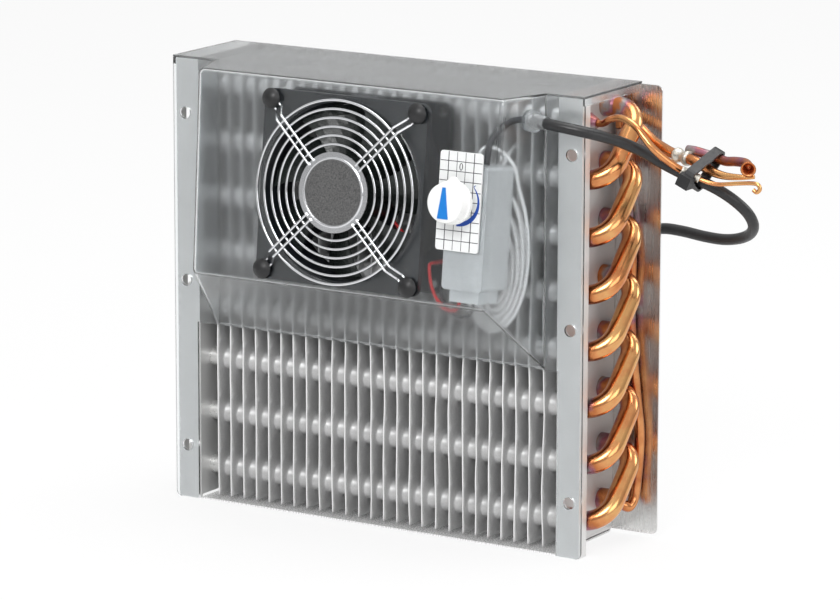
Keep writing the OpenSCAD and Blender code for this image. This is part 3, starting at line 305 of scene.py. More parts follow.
finishes = {
    "caseSheet": dict(
        colour=(0.74, 0.74, 0.735), metallic=0.6, rough=0.42, vary=0.05, cloud=25, grain=1500,
        stretch=(1, 1, 0.05), relief=0.15,
    ),
    "backSheet": dict(
        colour=(0.74, 0.74, 0.73), metallic=1.0, rough=0.27, vary=0.09, cloud=14, grain=1100,
        stretch=(1, 1, 0.02), relief=0.22, lines=True,
    ),
    # the fins are darker than the other aluminium: painted shade between the close fins; their front edges carry
    # a painted highlight
    "finAluminiumPaintedLight": dict(
        colour=(0.6, 0.6, 0.6), metallic=0.3, rough=0.42, vary=0.1, cloud=60, grain=1200, relief=0.15,
    ),
    "tubeAluminium": dict(
        colour=(0.74, 0.74, 0.73), metallic=0.75, rough=0.32, vary=0.07, cloud=60, grain=900, relief=0.1,
    ),
    "brazedSilver": dict(
        colour=(0.74, 0.7, 0.62), metallic=0.95, rough=0.33, vary=0.16, cloud=160, grain=900, relief=0.4,
        reliefSize=0.0003,
    ),
    "blackNylon": dict(
        colour=(0.012, 0.012, 0.013), metallic=0.0, rough=0.42, vary=0.3, cloud=120, grain=1500, relief=0.2,
    ),
    "fanPlastic": dict(
        colour=(0.011, 0.014, 0.018), metallic=0.0, rough=0.4, vary=0.25, cloud=60, grain=1800, relief=0.25,
    ),
    "impellerPlastic": dict(
        colour=(0.016, 0.021, 0.019), metallic=0.0, rough=0.3, vary=0.25, cloud=60, grain=1500, relief=0.15,
    ),
    "statorSteel": dict(
        colour=(0.35, 0.35, 0.36), metallic=0.9, rough=0.4, vary=0.1, stretch=(1, 0.02, 1), lines=True,
        relief=0.4, grain=2400,
    ),
    "windingWire": dict(
        colour=(0.55, 0.2, 0.07), metallic=0.7, rough=0.3, vary=0.15, stretch=(1, 0.05, 0.3), grain=2200,
        lines=True, relief=0.8, reliefSize=0.0003,
    ),
    "bearingBronze": dict(colour=(0.55, 0.38, 0.16), metallic=1.0, rough=0.35, vary=0.12, relief=0.3),
    "whitePlastic": dict(colour=(0.72, 0.73, 0.72), metallic=0.0, rough=0.45, vary=0.04, relief=0.1),
    "platedSteel": dict(colour=(0.72, 0.72, 0.7), metallic=1.0, rough=0.22, vary=0.06, relief=0.1),
    "dialPlastic": dict(colour=(0.82, 0.83, 0.83), metallic=0.0, rough=0.4, vary=0.02, relief=0.06),
    "knobPlastic": dict(colour=(0.9, 0.9, 0.89), metallic=0.0, rough=0.32, vary=0.015, relief=0.04),
    "pointerBlue": dict(colour=(0.0, 0.19, 0.62), metallic=0.0, rough=0.4, vary=0.05, relief=0.05),
    "scaleBlue": dict(colour=(0.005, 0.06, 0.36), metallic=0.0, rough=0.5, vary=0.06, relief=0.05),
    "printBlack": dict(colour=(0.02, 0.02, 0.03), metallic=0.0, rough=0.6, vary=0.2, relief=0.05),
    "casingPlastic": dict(colour=(0.66, 0.68, 0.69), metallic=0.0, rough=0.35, vary=0.06, cloud=45, relief=0.1),
    "sensingSleeve": dict(colour=(0.95, 0.95, 0.95), metallic=0.1, rough=0.3, vary=0.05, relief=0.1),
    "redLead": dict(colour=(0.7, 0.02, 0.025), metallic=0.0, rough=0.35, vary=0.08, relief=0.1),
    "darkLead": dict(colour=(0.03, 0.03, 0.035), metallic=0.0, rough=0.4, vary=0.2, relief=0.1),
    "cableJacket": dict(
        colour=(0.014, 0.014, 0.015), metallic=0.0, rough=0.36, vary=0.3, cloud=90, grain=1500, relief=0.2,
    ),
    "connectorNylon": dict(colour=(0.8, 0.79, 0.74), metallic=0.0, rough=0.4, vary=0.05, relief=0.15),
    "magnetFerrite": dict(colour=(0.05, 0.047, 0.045), metallic=0.1, rough=0.6, vary=0.2, relief=0.4),
}
materials = {name: finishMaterial(name, **values) for name, values in finishes.items()}

# Clear plastics: the thin cover with a little haze and moulding ripple, and a milky ring round the cable
clearLooks = {
    "clearPlastic": dict(
        colour=(0.93, 0.95, 0.96), rough=0.06, transmission=1.0, ior=1.46, specular=0.3, cloud=14, grain=500,
        haze=(0.13, 0.2), texture="Cloud", relief=0.15, reliefSize=0.0006,
    ),
    "grommetPlastic": dict(
        colour=(0.86, 0.88, 0.89), rough=0.25, transmission=0.85, ior=1.2, specular=0.5, cloud=120, grain=1500,
        haze=None, texture="Grain", relief=0.1, reliefSize=0.0001,
    ),
}
hazeBand = (0.35, 0.65)


def clearMaterial(name, colour, rough, transmission, ior, specular, cloud, grain, haze, texture, relief,
    reliefSize):
    material, tree, shader = newMaterial(name, colour, 0.0, rough)
    shader.inputs["Transmission Weight"].default_value = transmission
    shader.inputs["IOR"].default_value = ior
    shader.inputs["Specular IOR Level"].default_value = specular
    out = grained(tree, cloud, grain)[1]
    if haze:
        tree.links.new(ranged(tree, out["Cloud"], *hazeBand, *haze), shader.inputs["Roughness"])
    bump(tree, shader, out[texture], relief, reliefSize)
    return material


for label, look in clearLooks.items():
    materials[label] = clearMaterial(label, **look)

# Where, in metres, a finish turns lighter: a painted highlight on the fins' front edges, and a painted reflection
# of the fins on the bottom plate, which is duller too
finEdgePaintedHighlight = dict(axis="Y", start=-0.0236, end=-0.0241, light=(0.97, 0.97, 0.97))
bottomPaintedReflection = dict(axis="Z", start=0.004, end=0.002, light=(0.86, 0.86, 0.86))
bottomDulling = 0.75


# mixes a lighter colour in along one axis of the object: painted light
def paintLightAlongAxis(name, axis, start, end, light):
    tree = materials[name].node_tree
    shader = tree.nodes["Principled BSDF"]
    base = shader.inputs["Base Color"].links[0].from_socket
    place = addNode(tree, "ShaderNodeTexCoord")
    axes = addNode(tree, "ShaderNodeSeparateXYZ", inputs={0: place.outputs["Object"]})
    mask = ranged(tree, axes.outputs[axis], start, end, 0, 1)
    tree.links.new(mixColour(tree, mask, base, light), shader.inputs["Base Color"])
    return tree, shader, mask


# the bottom plate gets a painted reflection of the fins in its colour, and less metal
def paintReflectionAndDullBottom():
    tree, shader, mask = paintLightAlongAxis("backSheet", **bottomPaintedReflection)
    metal = mathNode(tree, "SUBTRACT", 1.0, mathNode(tree, "MULTIPLY", mask, bottomDulling))
    tree.links.new(metal, shader.inputs["Metallic"])


paintLightAlongAxis("finAluminiumPaintedLight", **finEdgePaintedHighlight)
paintReflectionAndDullBottom()

# Copper: bright where it stayed cool, coloured where it was brazed
copperColours = {
    "fresh": (0.7, 0.3, 0.12), "warm": (0.5, 0.17, 0.06), "purple": (0.3, 0.12, 0.16),
    "grey": (0.33, 0.31, 0.3), "gold": (0.74, 0.4, 0.16),
}
heatStops = [(0.0, "gold"), (0.22, "fresh"), (0.48, "warm"), (0.66, "purple"), (0.8, "grey"), (0.95, "warm")]
heatDrift = {"broad": 0.28, "narrow": 0.06, "oxideFrom": 0.4, "oxideTo": 0.9}
copperGrain = {"cloud": 60, "grain": 1100, "dulling": 0.16, "relief": 0.12, "reliefSize": 0.0001}


def makeTintGroup(settings):
    # bright copper that heat has coloured, more so where Heat is near 1
    inputs = [("Vector", "NodeSocketVector", None), ("Heat", "NodeSocketFloat", 0.0)]
    group, start, end = newGroup("heatTint", inputs, [("Color", "NodeSocketColor"), ("Oxide", "NodeSocketFloat")])
    drift = addNode(group, "ShaderNodeTexNoise", inputs={"Vector": start.outputs["Vector"], "Scale": 55.0,
        "Detail": 3.0, "Roughness": 0.55})
    fine = addNode(group, "ShaderNodeTexNoise", inputs={"Vector": start.outputs["Vector"], "Scale": 260.0,
        "Detail": 3.0, "Roughness": 0.6})
    broad, narrow = heatDrift["broad"], heatDrift["narrow"]
    wide = ranged(group, drift.outputs["Fac"], *noiseBand, -broad, broad)
    small = ranged(group, fine.outputs["Fac"], *noiseBand, -narrow, narrow)
    level = mathNode(group, "ADD", start.outputs["Heat"], wide)
    level = mathNode(group, "ADD", level, small, clamp=True)
    ramp = addNode(group, "ShaderNodeValToRGB")
    band = ramp.color_ramp
    while len(band.elements) < len(heatStops):
        band.elements.new(0.5)
    for element, (at, label) in zip(band.elements, heatStops):
        element.position = at
        element.color = (*settings[label], 1)
    group.links.new(level, ramp.inputs[0])
    group.links.new(ramp.outputs[0], end.inputs["Color"])
    oxide = ranged(group, level, heatDrift["oxideFrom"], heatDrift["oxideTo"], 0, 1)
    group.links.new(oxide, end.inputs["Oxide"])
    return group


tintGroup = makeTintGroup(copperColours)


def copperMaterial(name, heatFrom, heatTo, low, high, rough):
    # the heat runs from high to low between two places along x, in metres
    material, tree, shader = newMaterial(name, copperColours["fresh"], 1.0, rough)
    vector, out = grained(tree, copperGrain["cloud"], copperGrain["grain"])
    axes = addNode(tree, "ShaderNodeSeparateXYZ", inputs={0: vector})
    tint = tree.nodes.new("ShaderNodeGroup")
    tint.node_tree = tintGroup
    tree.links.new(vector, tint.inputs["Vector"])
    tree.links.new(ranged(tree, axes.outputs["X"], heatFrom, heatTo, high, low), tint.inputs["Heat"])
    tree.links.new(tint.outputs["Color"], shader.inputs["Base Color"])
    spread = ranged(tree, out["Grain"], *noiseBand, rough * 0.8, rough * 1.2)
    dull = mathNode(tree, "MULTIPLY", tint.outputs["Oxide"], copperGrain["dulling"])
    tree.links.new(mathNode(tree, "ADD", spread, dull), shader.inputs["Roughness"])
    bump(tree, shader, out["Grain"], copperGrain["relief"], copperGrain["reliefSize"])
    return material


# Where the heat starts and ends along x, the heat there, and the roughness
copperLooks = {
    "bendCopper": (0.1105, 0.124, 0.12, 0.85, 0.2), "bellCopper": (0.104, 0.112, 0.3, 0.75, 0.3),
    "lineCopper": (0.1, 0.2, 0.3, 0.32, 0.22), "brazedCopper": (0.104, 0.12, 0.5, 0.9, 0.36),
    "tailCopper": (0.15, 0.2, 0.05, 0.25, 0.24),
}
for label, look in copperLooks.items():
    materials[label] = copperMaterial(label, *look)

# The guard's wire is bright, and its centre disc darker and duller
guardLook = {
    "wire": (0.75, 0.76, 0.78), "rough": 0.14, "discRough": 0.3, "discTone": (0.1, 0.26),
    "discEdge": (0.0155, 0.0163), "height": 5.5, "cloud": 80, "grain": 1600, "relief": 0.1,
    "reliefSize": 0.0001,
}


def makeGuardMetal(s):
    material, tree, shader = newMaterial("guardWire", s["wire"], 1.0, s["rough"])
    vector, out = grained(tree, s["cloud"], s["grain"])
    centre = fanPlace @ Vector((0, 0, s["height"]))
    away = addNode(tree, "ShaderNodeVectorMath", operation="DISTANCE", inputs={0: vector, 1: tuple(centre)})
    disc = ranged(tree, away.outputs["Value"], *s["discEdge"], 1.0, 0.0)
    speck = ranged(tree, out["Grain"], *noiseBand, *s["discTone"])
    tree.links.new(mixColour(tree, disc, s["wire"], speckColour(tree, speck)), shader.inputs["Base Color"])
    dull = mathNode(tree, "MULTIPLY", disc, s["discRough"])
    tree.links.new(mathNode(tree, "ADD", s["rough"], dull), shader.inputs["Roughness"])
    bump(tree, shader, out["Grain"], s["relief"], s["reliefSize"])
    return material


materials["guardWire"] = makeGuardMetal(guardLook)
print("materials ready:", len(materials))

# CAD nodes that keep their shape only get a finish
keptNodes = {
    "rear_panel": "backSheet", "left_end_plate": "caseSheet", "right_end_plate": "caseSheet",
    "front_cover": "clearPlastic", "fins": "finAluminiumPaintedLight", "hairpin_tubes": "tubeAluminium",
    "return_bends": "bendCopper", "tube_bells": "bellCopper", "reducers": "brazedCopper",
    "cable_tie": "blackNylon", "fan_frame": "fanPlastic", "fan_stator": "statorSteel",
    "fan_windings": "windingWire", "fan_bearings": "bearingBronze", "fan_impeller": "impellerPlastic",
    "fan_shaft": "platedSteel", "fan_magnet": "magnetFerrite", "shaft_clip": "whitePlastic",
    "finger_guard": "guardWire", "guard_rivets": "blackNylon", "thermostat_body": "casingPlastic",
    "thermostat_bush": "platedSteel", "thermostat_dial": "dialPlastic", "thermostat_knob": "knobPlastic",
    "knob_pointer": "pointerBlue", "thermostat_spindle": "platedSteel", "cable_grommet": "grommetPlastic",
    "cable_connector": "connectorNylon",
}
for label, finish in keptNodes.items():
    nodes[label].data.materials.clear()
    nodes[label].data.materials.append(materials[finish])
print("finishes on the kept nodes")

# Cords: the supply cable with its stored coil, and the leads in the hood
cableSettings = {
    "diameter": 5.4, "coilRadius": 36, "coilAt": (14, 122, 2.7), "step": 6, "turns": 2, "lead": 6,
    "perTurn": 48, "steps": 4, "sides": 24,
    "route": [
        (92, -35.4, 211.8), (97, -36.8, 211.8), (103, -38.4, 211.6), (110.4, -38.8, 211), (119, -36.6, 209.6),
        (127, -31.6, 207.4), (134, -24, 204), (140.6, -15.4, 199), (148.4, -7.4, 192.4), (158, -2.4, 187),
        (166.4, -0.4, 184), (173.6, 1.8, 180.6), (180, 5.4, 175.6), (184, 10.6, 169.4), (183.8, 16.8, 162.8),
        (179, 23, 157.2), (170.4, 28.6, 153), (159, 33.6, 150.4), (146, 38, 149.8), (132, 42, 150.2),
        (119.4, 45, 149.6), (108, 48, 145.6), (100.4, 50.4, 136.4), (96.4, 52.4, 122), (94.8, 53.8, 103),
        (94.2, 55.2, 82), (94, 57, 62), (93, 60.4, 42), (89.4, 66, 24.6), (82, 74, 11.6), (72, 81.4, 4.8),
        (62, 85.4, 2.8), (52, 86, 2.7), (36, 86, 2.7), (20, 86, 2.7),
    ],
}


def coilPath(s):
    # spiral in on the ground, climb in half a turn, and spiral out above
    at, r, step, turns, n = Vector(s["coilAt"]) * mm, s["coilRadius"], s["step"], s["turns"], s["perTurn"]

    def point(radius, turn, z):
        a = 2 * math.pi * turn
        return at + Vector((-radius * math.sin(a), -radius * math.cos(a), z)) * mm

    low = [point(r - step * k / n, k / n, 0) for k in range(turns * n + 1)]
    climb = []
    for k in range(1, n // 2 + 1):
        f = 2 * k / n
        inward = turns + 0.25 - abs(f / 2 - 0.25)
        climb.append(point(r - step * inward, turns + f / 2, step * (1 - math.cos(math.pi * f)) / 2))
    count = int((turns - 0.5) * n)
    high = [point(r - step * (turns - k / n), turns + 0.5 + k / n, step) for k in range(1, count + 1)]
    ends = [high[-1] - Vector((s["lead"] * mm * k, 0, 0)) for k in (1, 2)]
    return low + climb + high + ends


def makeCable(s):
    line = smoothPath(s["route"], s["steps"]) + coilPath(s)
    cable = tubeMesh("supplyCable", line, s["diameter"] / 2 * mm, s["sides"])
    dress(cable, materials["cableJacket"], "case", "cable_jacket", "supply_cable", "cable_coil")
    return line


cableLine = makeCable(cableSettings)

leadSteps = 6
leadSides = 14
leadSettings = {
    "redLead": dict(
        node="red_lead", slot="red_pvc", finish="redLead", diameter=1.6,
        route=[
            (14.4, -33.8, 156.4), (27.6, -35, 145.4), (39.6, -35.4, 140.4), (46.4, -35.4, 139.8),
            (49.6, -37, 140), (49.8, -42, 140.8), (49.8, -49.8, 141.6), (50, -55.8, 141.8), (50.6, -57, 138),
            (50.8, -55.6, 131.6), (52, -52.8, 124.8), (56.4, -51.2, 120.6), (61.6, -50.8, 121),
            (63.6, -50.4, 124.8),
        ],
    ),
    "darkLead": dict(
        node="dark_lead", slot="black_pvc", finish="darkLead", diameter=1.6,
        route=[
            (13.6, -34.2, 153.4), (26.4, -35.6, 139.6), (38.4, -36.2, 132), (46, -36.4, 130.8),
            (49.6, -38, 130.8), (50, -43, 130.8), (50.6, -47.4, 127.8), (54.4, -48.2, 120.8),
            (61.6, -47.6, 116.6), (67.6, -47.2, 119), (68.8, -46.8, 124.4),
        ],
    ),
    "supplyLead": dict(
        node="supply_lead", slot="black_pvc", finish="darkLead", diameter=3.2,
        route=[
            (91.9, -35.4, 211.8), (86, -35.4, 211.7), (81, -36.6, 210), (77, -39.5, 205.6), (75, -43, 200),
            (74.5, -45, 190.4),
        ],
    ),
}
for label, s in leadSettings.items():
    line = smoothPath(s["route"], leadSteps)
    lead = tubeMesh(label, line, s["diameter"] / 2 * mm, leadSides)
    dress(lead, materials[s["finish"]], "case", s["slot"], s["node"])
print("cords ready, cable length", round(pathLength(cableLine), 3))

# Sensing tube of the thermostat: ten loops in two layers
sensorSettings = {
    "x": 70.5, "low": 107, "high": 191, "halfWidth": 20, "step": 2.9, "lowStep": 3.2, "topStep": 9.6,
    "front": -32.7, "layer": 2.9, "half": 5, "diameter": 1.8, "perTurn": 24, "leadTurn": 3, "steps": 2,
    "sides": 12,
    "lead": [
        (69.5, -43.7, 192), (69.7, -43.2, 195), (71.6, -42.2, 197.8), (75, -40.2, 198.2), (78.6, -37.4, 195.4),
        (81.6, -34.6, 190.6), (83.2, -33.2, 185.4),
    ],
    "tail": [
        (72.6, -29.7, 186.2), (73.4, -28.6, 187.8), (73.2, -25.4, 190.6), (73.2, -20.6, 193.6),
        (73.2, -15, 195.6), (73.2, -8, 196),
    ],
}


def makeSensor(s):
    def point(u, turn, y):
        low, high = s["low"] + s["lowStep"] * u, s["high"] - s["topStep"] * u
        w = s["halfWidth"] - s["step"] * u
        a = 2 * math.pi * turn
        return (s["x"] + w * math.sin(a), y, (low + high) / 2 + (high - low) / 2 * math.cos(a))

    n, half = s["perTurn"], s["half"]
    path = list(s["lead"]) + [point(k / n, k / n, s["front"]) for k in range(s["leadTurn"], half * n + 1)]
    for k in range(1, n // 2 + 1):
        f = 2 * k / n
        y = s["front"] + s["layer"] * (1 - math.cos(math.pi * f)) / 2
        path.append(point(half + 0.25 - abs(f / 2 - 0.25), half + f / 2, y))
    count, y = int((half - 0.5) * n), s["front"] + s["layer"]
    path += [point(half - k / n, half + 0.5 + k / n, y) for k in range(1, count + 1)]
    path += s["tail"]
    tube = tubeMesh("sensingTube", smoothPath(path, s["steps"]), s["diameter"] / 2 * mm, s["sides"])
    return dress(tube, materials["sensingSleeve"], "case", "sensing_sleeve", "sensing_tube")


makeSensor(sensorSettings)

# Copper lines: smooth tubes in place of the faceted ones
lineSettings = [
    dict(
        name="suctionRiser", node="suction_riser", slot="copper", finish="bendCopper", d=5.2,
        route=[
            (112.5, 15.5, 19.2), (113.7, 15.5, 19.1), (116, 16.2, 17.4), (118, 19, 17), (118.8, 22.4, 24),
            (120.5, 22.8, 50), (118.5, 22.8, 70), (115.5, 22.8, 98), (114.5, 22.8, 120), (115, 22.8, 140),
            (112.5, 23.6, 159), (109, 23.8, 185), (107.8, 23.8, 201),
        ],
    ),
    dict(
        name="suctionLine", node="suction_line", slot="copper", finish="lineCopper", d=5.2,
        route=[
            (107.8, 23.8, 201.2), (107.8, 23.8, 206), (109.8, 23.7, 209), (114, 22.4, 206.5),
            (121.5, 19, 202.5), (131, 14.5, 198), (141, 9.5, 195.5), (147.5, 6.5, 194.5),
        ],
    ),
    dict(
        name="inletLine", node="inlet_line", slot="copper", finish="lineCopper", d=3.4,
        route=[
            (116.45, -13.9, 209.6), (118.4, -13.9, 209.6), (120.6, -14.4, 210.4), (124, -16, 212.4),
            (130, -17.6, 214), (135.8, -19, 213.2), (141.2, -20, 210.4), (145, -20.4, 206.6),
            (149.8, -20, 201.6), (154, -18, 197.6), (157.8, -15.6, 194.2), (160.6, -12.6, 191.6),
        ],
    ),
    dict(
        name="capillaryTail", node="capillary_tail", slot="copper", finish="tailCopper", d=2,
        route=[
            (168, -8, 187.2), (172.4, -7.2, 185.8), (178, -6.4, 185.4), (187.2, -5.6, 186.6),
            (194.4, -5.6, 187.4), (197.6, -5.6, 187), (198.6, -5.6, 185), (197, -5.6, 183.4),
            (195.2, -5.6, 184.4),
        ],
    ),
    dict(
        name="suctionSleeve", node="suction_sleeve", slot="brazed_silver", finish="brazedSilver", d=5.2,
        bulge=1.3, route=[(147.5, 6.5, 194.5), (152, 4.8, 194.2), (156.5, 3.2, 193.8)],
    ),
    dict(
        name="inletSleeve", node="inlet_sleeve", slot="brazed_silver", finish="brazedSilver", d=4.2,
        route=[(160.6, -12.6, 191.6), (164, -10, 189.4), (168, -8, 187.2)],
    ),
    dict(
        name="suctionTail", node="suction_tail", slot="copper", finish="tailCopper", d=5.2, pinch=0.35,
        route=[
            (156.5, 3.2, 193.8), (161, 1.6, 193), (166, 0.6, 191.4), (171, -0.4, 189.6), (178, -1.4, 188.6),
            (186, -1.6, 188.8), (193, -0.4, 189.4),
        ],
    ),
    dict(
        name="processTube", node="process_tube", slot="brazed_copper", finish="brazedCopper", d=4.6, flare=7.4,
        route=[
            (153.2, 7.5, 197.2), (156.8, 7, 197.2), (161, 6.9, 196.6), (168, 6.9, 195.3), (174, 6.4, 194),
            (180, 5.2, 194.6), (186, 3.2, 194.8), (190, -1, 194.2), (192, -5, 193.6),
        ],
    ),
]
lineSteps = 8
lineSides = 24
# How a sleeve swells in one and a half waves, where a tail starts to narrow, and how the open end flares
bulgeShares = (0.45, 0.4)
pinchStart = 0.3
pinchPower = 1.2
flareRings = 6
flarePower = 1.5
openEnd = {"wall": 0.6, "rings": 10}


def makeLine(s):
    line = smoothPath(s["route"], lineSteps)
    n = len(line) - 1
    radii = [s["d"] / 2] * (n + 1)
    hollow, depth = 0, 0
    if "bulge" in s:
        base, wave = bulgeShares
        radii = [s["d"] / 2 + s["bulge"] * (base + wave * math.sin(3 * math.pi * i / n)) for i in range(n + 1)]
    if "pinch" in s:
        along = [max(0, i / n - pinchStart) / (1 - pinchStart) for i in range(n + 1)]
        radii = [s["d"] / 2 * (1 - (1 - s["pinch"]) * share ** pinchPower) for share in along]
    if "flare" in s:
        along = [max(0, (i - n + flareRings) / flareRings) for i in range(n + 1)]
        radii = [s["d"] / 2 + (s["flare"] - s["d"]) / 2 * share ** flarePower for share in along]
        hollow, depth = openEnd["wall"] * mm, openEnd["rings"]
    tube = tubeMesh(s["name"], line, [r * mm for r in radii], lineSides, hollow=hollow, depth=depth)
    dress(tube, materials[s["finish"]], "case", s["slot"], s["node"])


for s in lineSettings:
    makeLine(s)
print("copper lines ready")

# Fins: one rippled fin, set out along the coil by Geometry Nodes
finSettings = {
    "count": 26, "first": -93.7, "last": 93.7, "thickness": 0.3, "front": -24.25, "back": 24.7, "low": 2.8,
    "high": 220.75, "frontRow": -13.9, "backRow": 15.5, "topRow": 209.6, "pitch": 27.7, "rise": 3.5,
    "collarRadius": 5.25, "collarLength": 7.0, "rows": 8, "ripple": 0.9, "root": 0.6,
    "sides": 24, "shares": (0, 0.33, 0.66, 1), "seed": 7.0, "level": 1e-06, "far": 1000000000.0, "corner": 0.01,
    "weld": 0.05,
}
rippleLook = {
    "scale": (47.0, 9.0, 26.0), "detail": 1.5, "depth": 0.009, "inner": 0.12, "span": (-0.06, 0.09),
    "sides": (0.45, 1.25), "gain": 4.0,
}


def finMesh(s):
    # two columns of cells, each a square sheet round a tube with its collar
    build = bmesh.new()
    middle = (s["frontRow"] + s["backRow"]) / 2
    for column in (0, 1):
        y0, y1 = (s["front"], middle) if column == 0 else (middle, s["back"])
        cy = s["backRow"] if column else s["frontRow"]
        for i in range(s["rows"]):
            cz = s["topRow"] - i * s["pitch"] + column * s["rise"]
            z1 = s["high"] if i == 0 else cz + s["pitch"] / 2
            z0 = s["low"] if i == s["rows"] - 1 else cz - s["pitch"] / 2
            outer = s["collarRadius"]
            rings = [[] for _ in range(2 + len(s["shares"]))]
            for k in range(s["sides"]):
                a = 2 * math.pi * k / s["sides"]
                c, d = math.cos(a), math.sin(a)
                acrossReach = (y1 - cy if c > 0 else y0 - cy) / c if abs(c) > s["level"] else s["far"]
                upReach = (z1 - cz if d > 0 else z0 - cz) / d if abs(d) > s["level"] else s["far"]
                reach = min(acrossReach, upReach)
                edge = (cy + c * reach, cz + d * reach)
                for ring, share in zip(rings[2:], s["shares"]):
                    start = (cy + c * (outer + s["root"]), cz + d * (outer + s["root"]))
                    spot = (0, start[0] + (edge[0] - start[0]) * share, start[1] + (edge[1] - start[1]) * share)
                    ring.append(build.verts.new(spot))
                rings[1].append(build.verts.new((s["root"], cy + c * outer, cz + d * outer)))
                rings[0].append(build.verts.new((s["collarLength"], cy + c * outer, cz + d * outer)))
            for inside, outside in zip(rings, rings[1:]):
                for k in range(s["sides"]):
                    j = (k + 1) % s["sides"]
                    build.faces.new((inside[k], inside[j], outside[j], outside[k]))
            # corners of the cell
            corners = [(y1, z1), (y0, z1), (y0, z0), (y1, z0)]
            for corner in corners:
                near = sorted(rings[-1], key=lambda v: (v.co.yz - Vector(corner)).length)[:2]
                if (near[0].co.yz - Vector(corner)).length > s["corner"]:
                    build.faces.new((near[0], near[1], build.verts.new((0, *corner))))
    bmesh.ops.remove_doubles(build, verts=build.verts, dist=s["weld"])
    for v in build.verts:
        v.co *= mm
    bmesh.ops.recalc_face_normals(build, faces=build.faces)
    mesh = bpy.data.meshes.new("finSheet")
    build.to_mesh(mesh)
    build.free()
    mesh.polygons.foreach_set("use_smooth", [True] * len(mesh.polygons))
    return mesh


def newGeometryTree(name, inputs):
    tree = bpy.data.node_groups.new(name, "GeometryNodeTree")
    tree.interface.new_socket(name="Geometry", in_out="INPUT", socket_type="NodeSocketGeometry")
    keys = {}
    for label, kind, value in inputs:
        socket = tree.interface.new_socket(name=label, in_out="INPUT", socket_type=kind)
        if value is not None:
            socket.default_value = value
        keys[label] = socket.identifier
    tree.interface.new_socket(name="Geometry", in_out="OUTPUT", socket_type="NodeSocketGeometry")
    return tree, tree.nodes.new("NodeGroupInput"), tree.nodes.new("NodeGroupOutput"), keys


def geometryResult(source, tree, keys, values, name):
    # inputs are set by identifier before the first evaluation
    modifier = source.modifiers.new("nodes", "NODES")
    modifier.node_group = tree
    for label, value in values.items():
        modifier[keys[label]] = value
    return plainMesh(source, name)


def finTree(material, s):
    tree, start, end, keys = newGeometryTree("finStack", [
        ("Count", "NodeSocketInt", 26), ("First", "NodeSocketFloat", -0.09), ("Last", "NodeSocketFloat", 0.09),
        ("Ripple", "NodeSocketFloat", 0.0008), ("Front", "NodeSocketFloat", -0.024),
        ("Seed", "NodeSocketFloat", 7.0)])

    def put(kind, **more):
        return addNode(tree, kind, **more)

    line = put("GeometryNodeMeshLine", mode="END_POINTS", inputs={"Count": start.outputs["Count"]})
    for label, socket in (("First", "Start Location"), ("Last", "Offset")):
        spot = put("ShaderNodeCombineXYZ", inputs={"X": start.outputs[label]})
        tree.links.new(spot.outputs[0], line.inputs[socket])
    copies = put("GeometryNodeInstanceOnPoints", inputs={"Points": line.outputs[0],
        "Instance": start.outputs["Geometry"]})
    real = put("GeometryNodeRealizeInstances", inputs={"Geometry": copies.outputs[0]})
    # the free front edges wander more than the rest, and more to the right
    place = put("GeometryNodeInputPosition")
    axes = put("ShaderNodeSeparateXYZ", inputs={0: place.outputs[0]})
    squeezed = put("ShaderNodeVectorMath", operation="MULTIPLY", inputs={0: place.outputs[0], 1: s["scale"]})
    wander = put("ShaderNodeTexNoise", noise_dimensions="4D",
        inputs={"Vector": squeezed.outputs[0], "W": start.outputs["Seed"], "Scale": 1.0, "Detail": s["detail"]})
    inner = mathNode(tree, "ADD", start.outputs["Front"], s["depth"])
    near = put("ShaderNodeMapRange", inputs={"Value": axes.outputs["Y"], "From Min": inner,
        "From Max": start.outputs["Front"], "To Min": s["inner"], "To Max": 1.0})
    right = put("ShaderNodeMapRange", inputs={"Value": axes.outputs["X"], "From Min": s["span"][0],
        "From Max": s["span"][1], "To Min": s["sides"][0], "To Max": s["sides"][1]})
    weight = mathNode(tree, "MULTIPLY", near.outputs[0], right.outputs[0])
    amount = mathNode(tree, "MULTIPLY", mathNode(tree, "SUBTRACT", wander.outputs[0], 0.5), weight)
    size = mathNode(tree, "MULTIPLY", start.outputs["Ripple"], s["gain"])
    shift = put("ShaderNodeCombineXYZ", inputs={"X": mathNode(tree, "MULTIPLY", amount, size)})
    moved = put("GeometryNodeSetPosition", inputs={"Geometry": real.outputs[0], "Offset": shift.outputs[0]})
    painted = put("GeometryNodeSetMaterial", inputs={"Geometry": moved.outputs[0], "Material": material})
    tree.links.new(painted.outputs[0], end.inputs[0])
    return tree, keys


def makeFins(s):
    source = bpy.data.objects.new("finSource", finMesh(s))
    bpy.context.scene.collection.objects.link(source)
    tree, keys = finTree(materials["finAluminiumPaintedLight"], rippleLook)
    fins = geometryResult(source, tree, keys, {"Count": s["count"], "First": s["first"] * mm,
        "Last": s["last"] * mm, "Ripple": s["ripple"] * mm, "Front": s["front"] * mm, "Seed": s["seed"]},
        "finPack")
    wall = fins.modifiers.new("wall", "SOLIDIFY")
    wall.thickness = s["thickness"] * mm
    wall.offset = 0
    dress(fins, materials["finAluminiumPaintedLight"], "case", "fin_aluminium", "fins")


makeFins(finSettings)
print("fins ready")

# Dial: printed squares, the zero and the blue scale
dialSettings = {
    "halfWidth": 11.7, "halfHeight": 23.5, "pitch": 4.68, "line": 0.34, "print": 0.03, "face": 0.86,
    "scaleRadius": 10.6, "columns": 5, "rows": 10, "endGap": (0.3, 0.2), "lineShares": (1.25, 0.8),
    "scaleTurn": (42, -96, -4), "scaleWidth": (0.35, 1.75), "scaleGrowth": 22,
    "hook": ((0.7, 1.3), (-0.25, 0.65)),
    "hookWidth": [0.35, 0.4],
    "zeroAt": 16.45, "zeroOuter": (0.95, 1.75), "zeroInner": (0.52, 1.45), "zeroSides": 40,
}


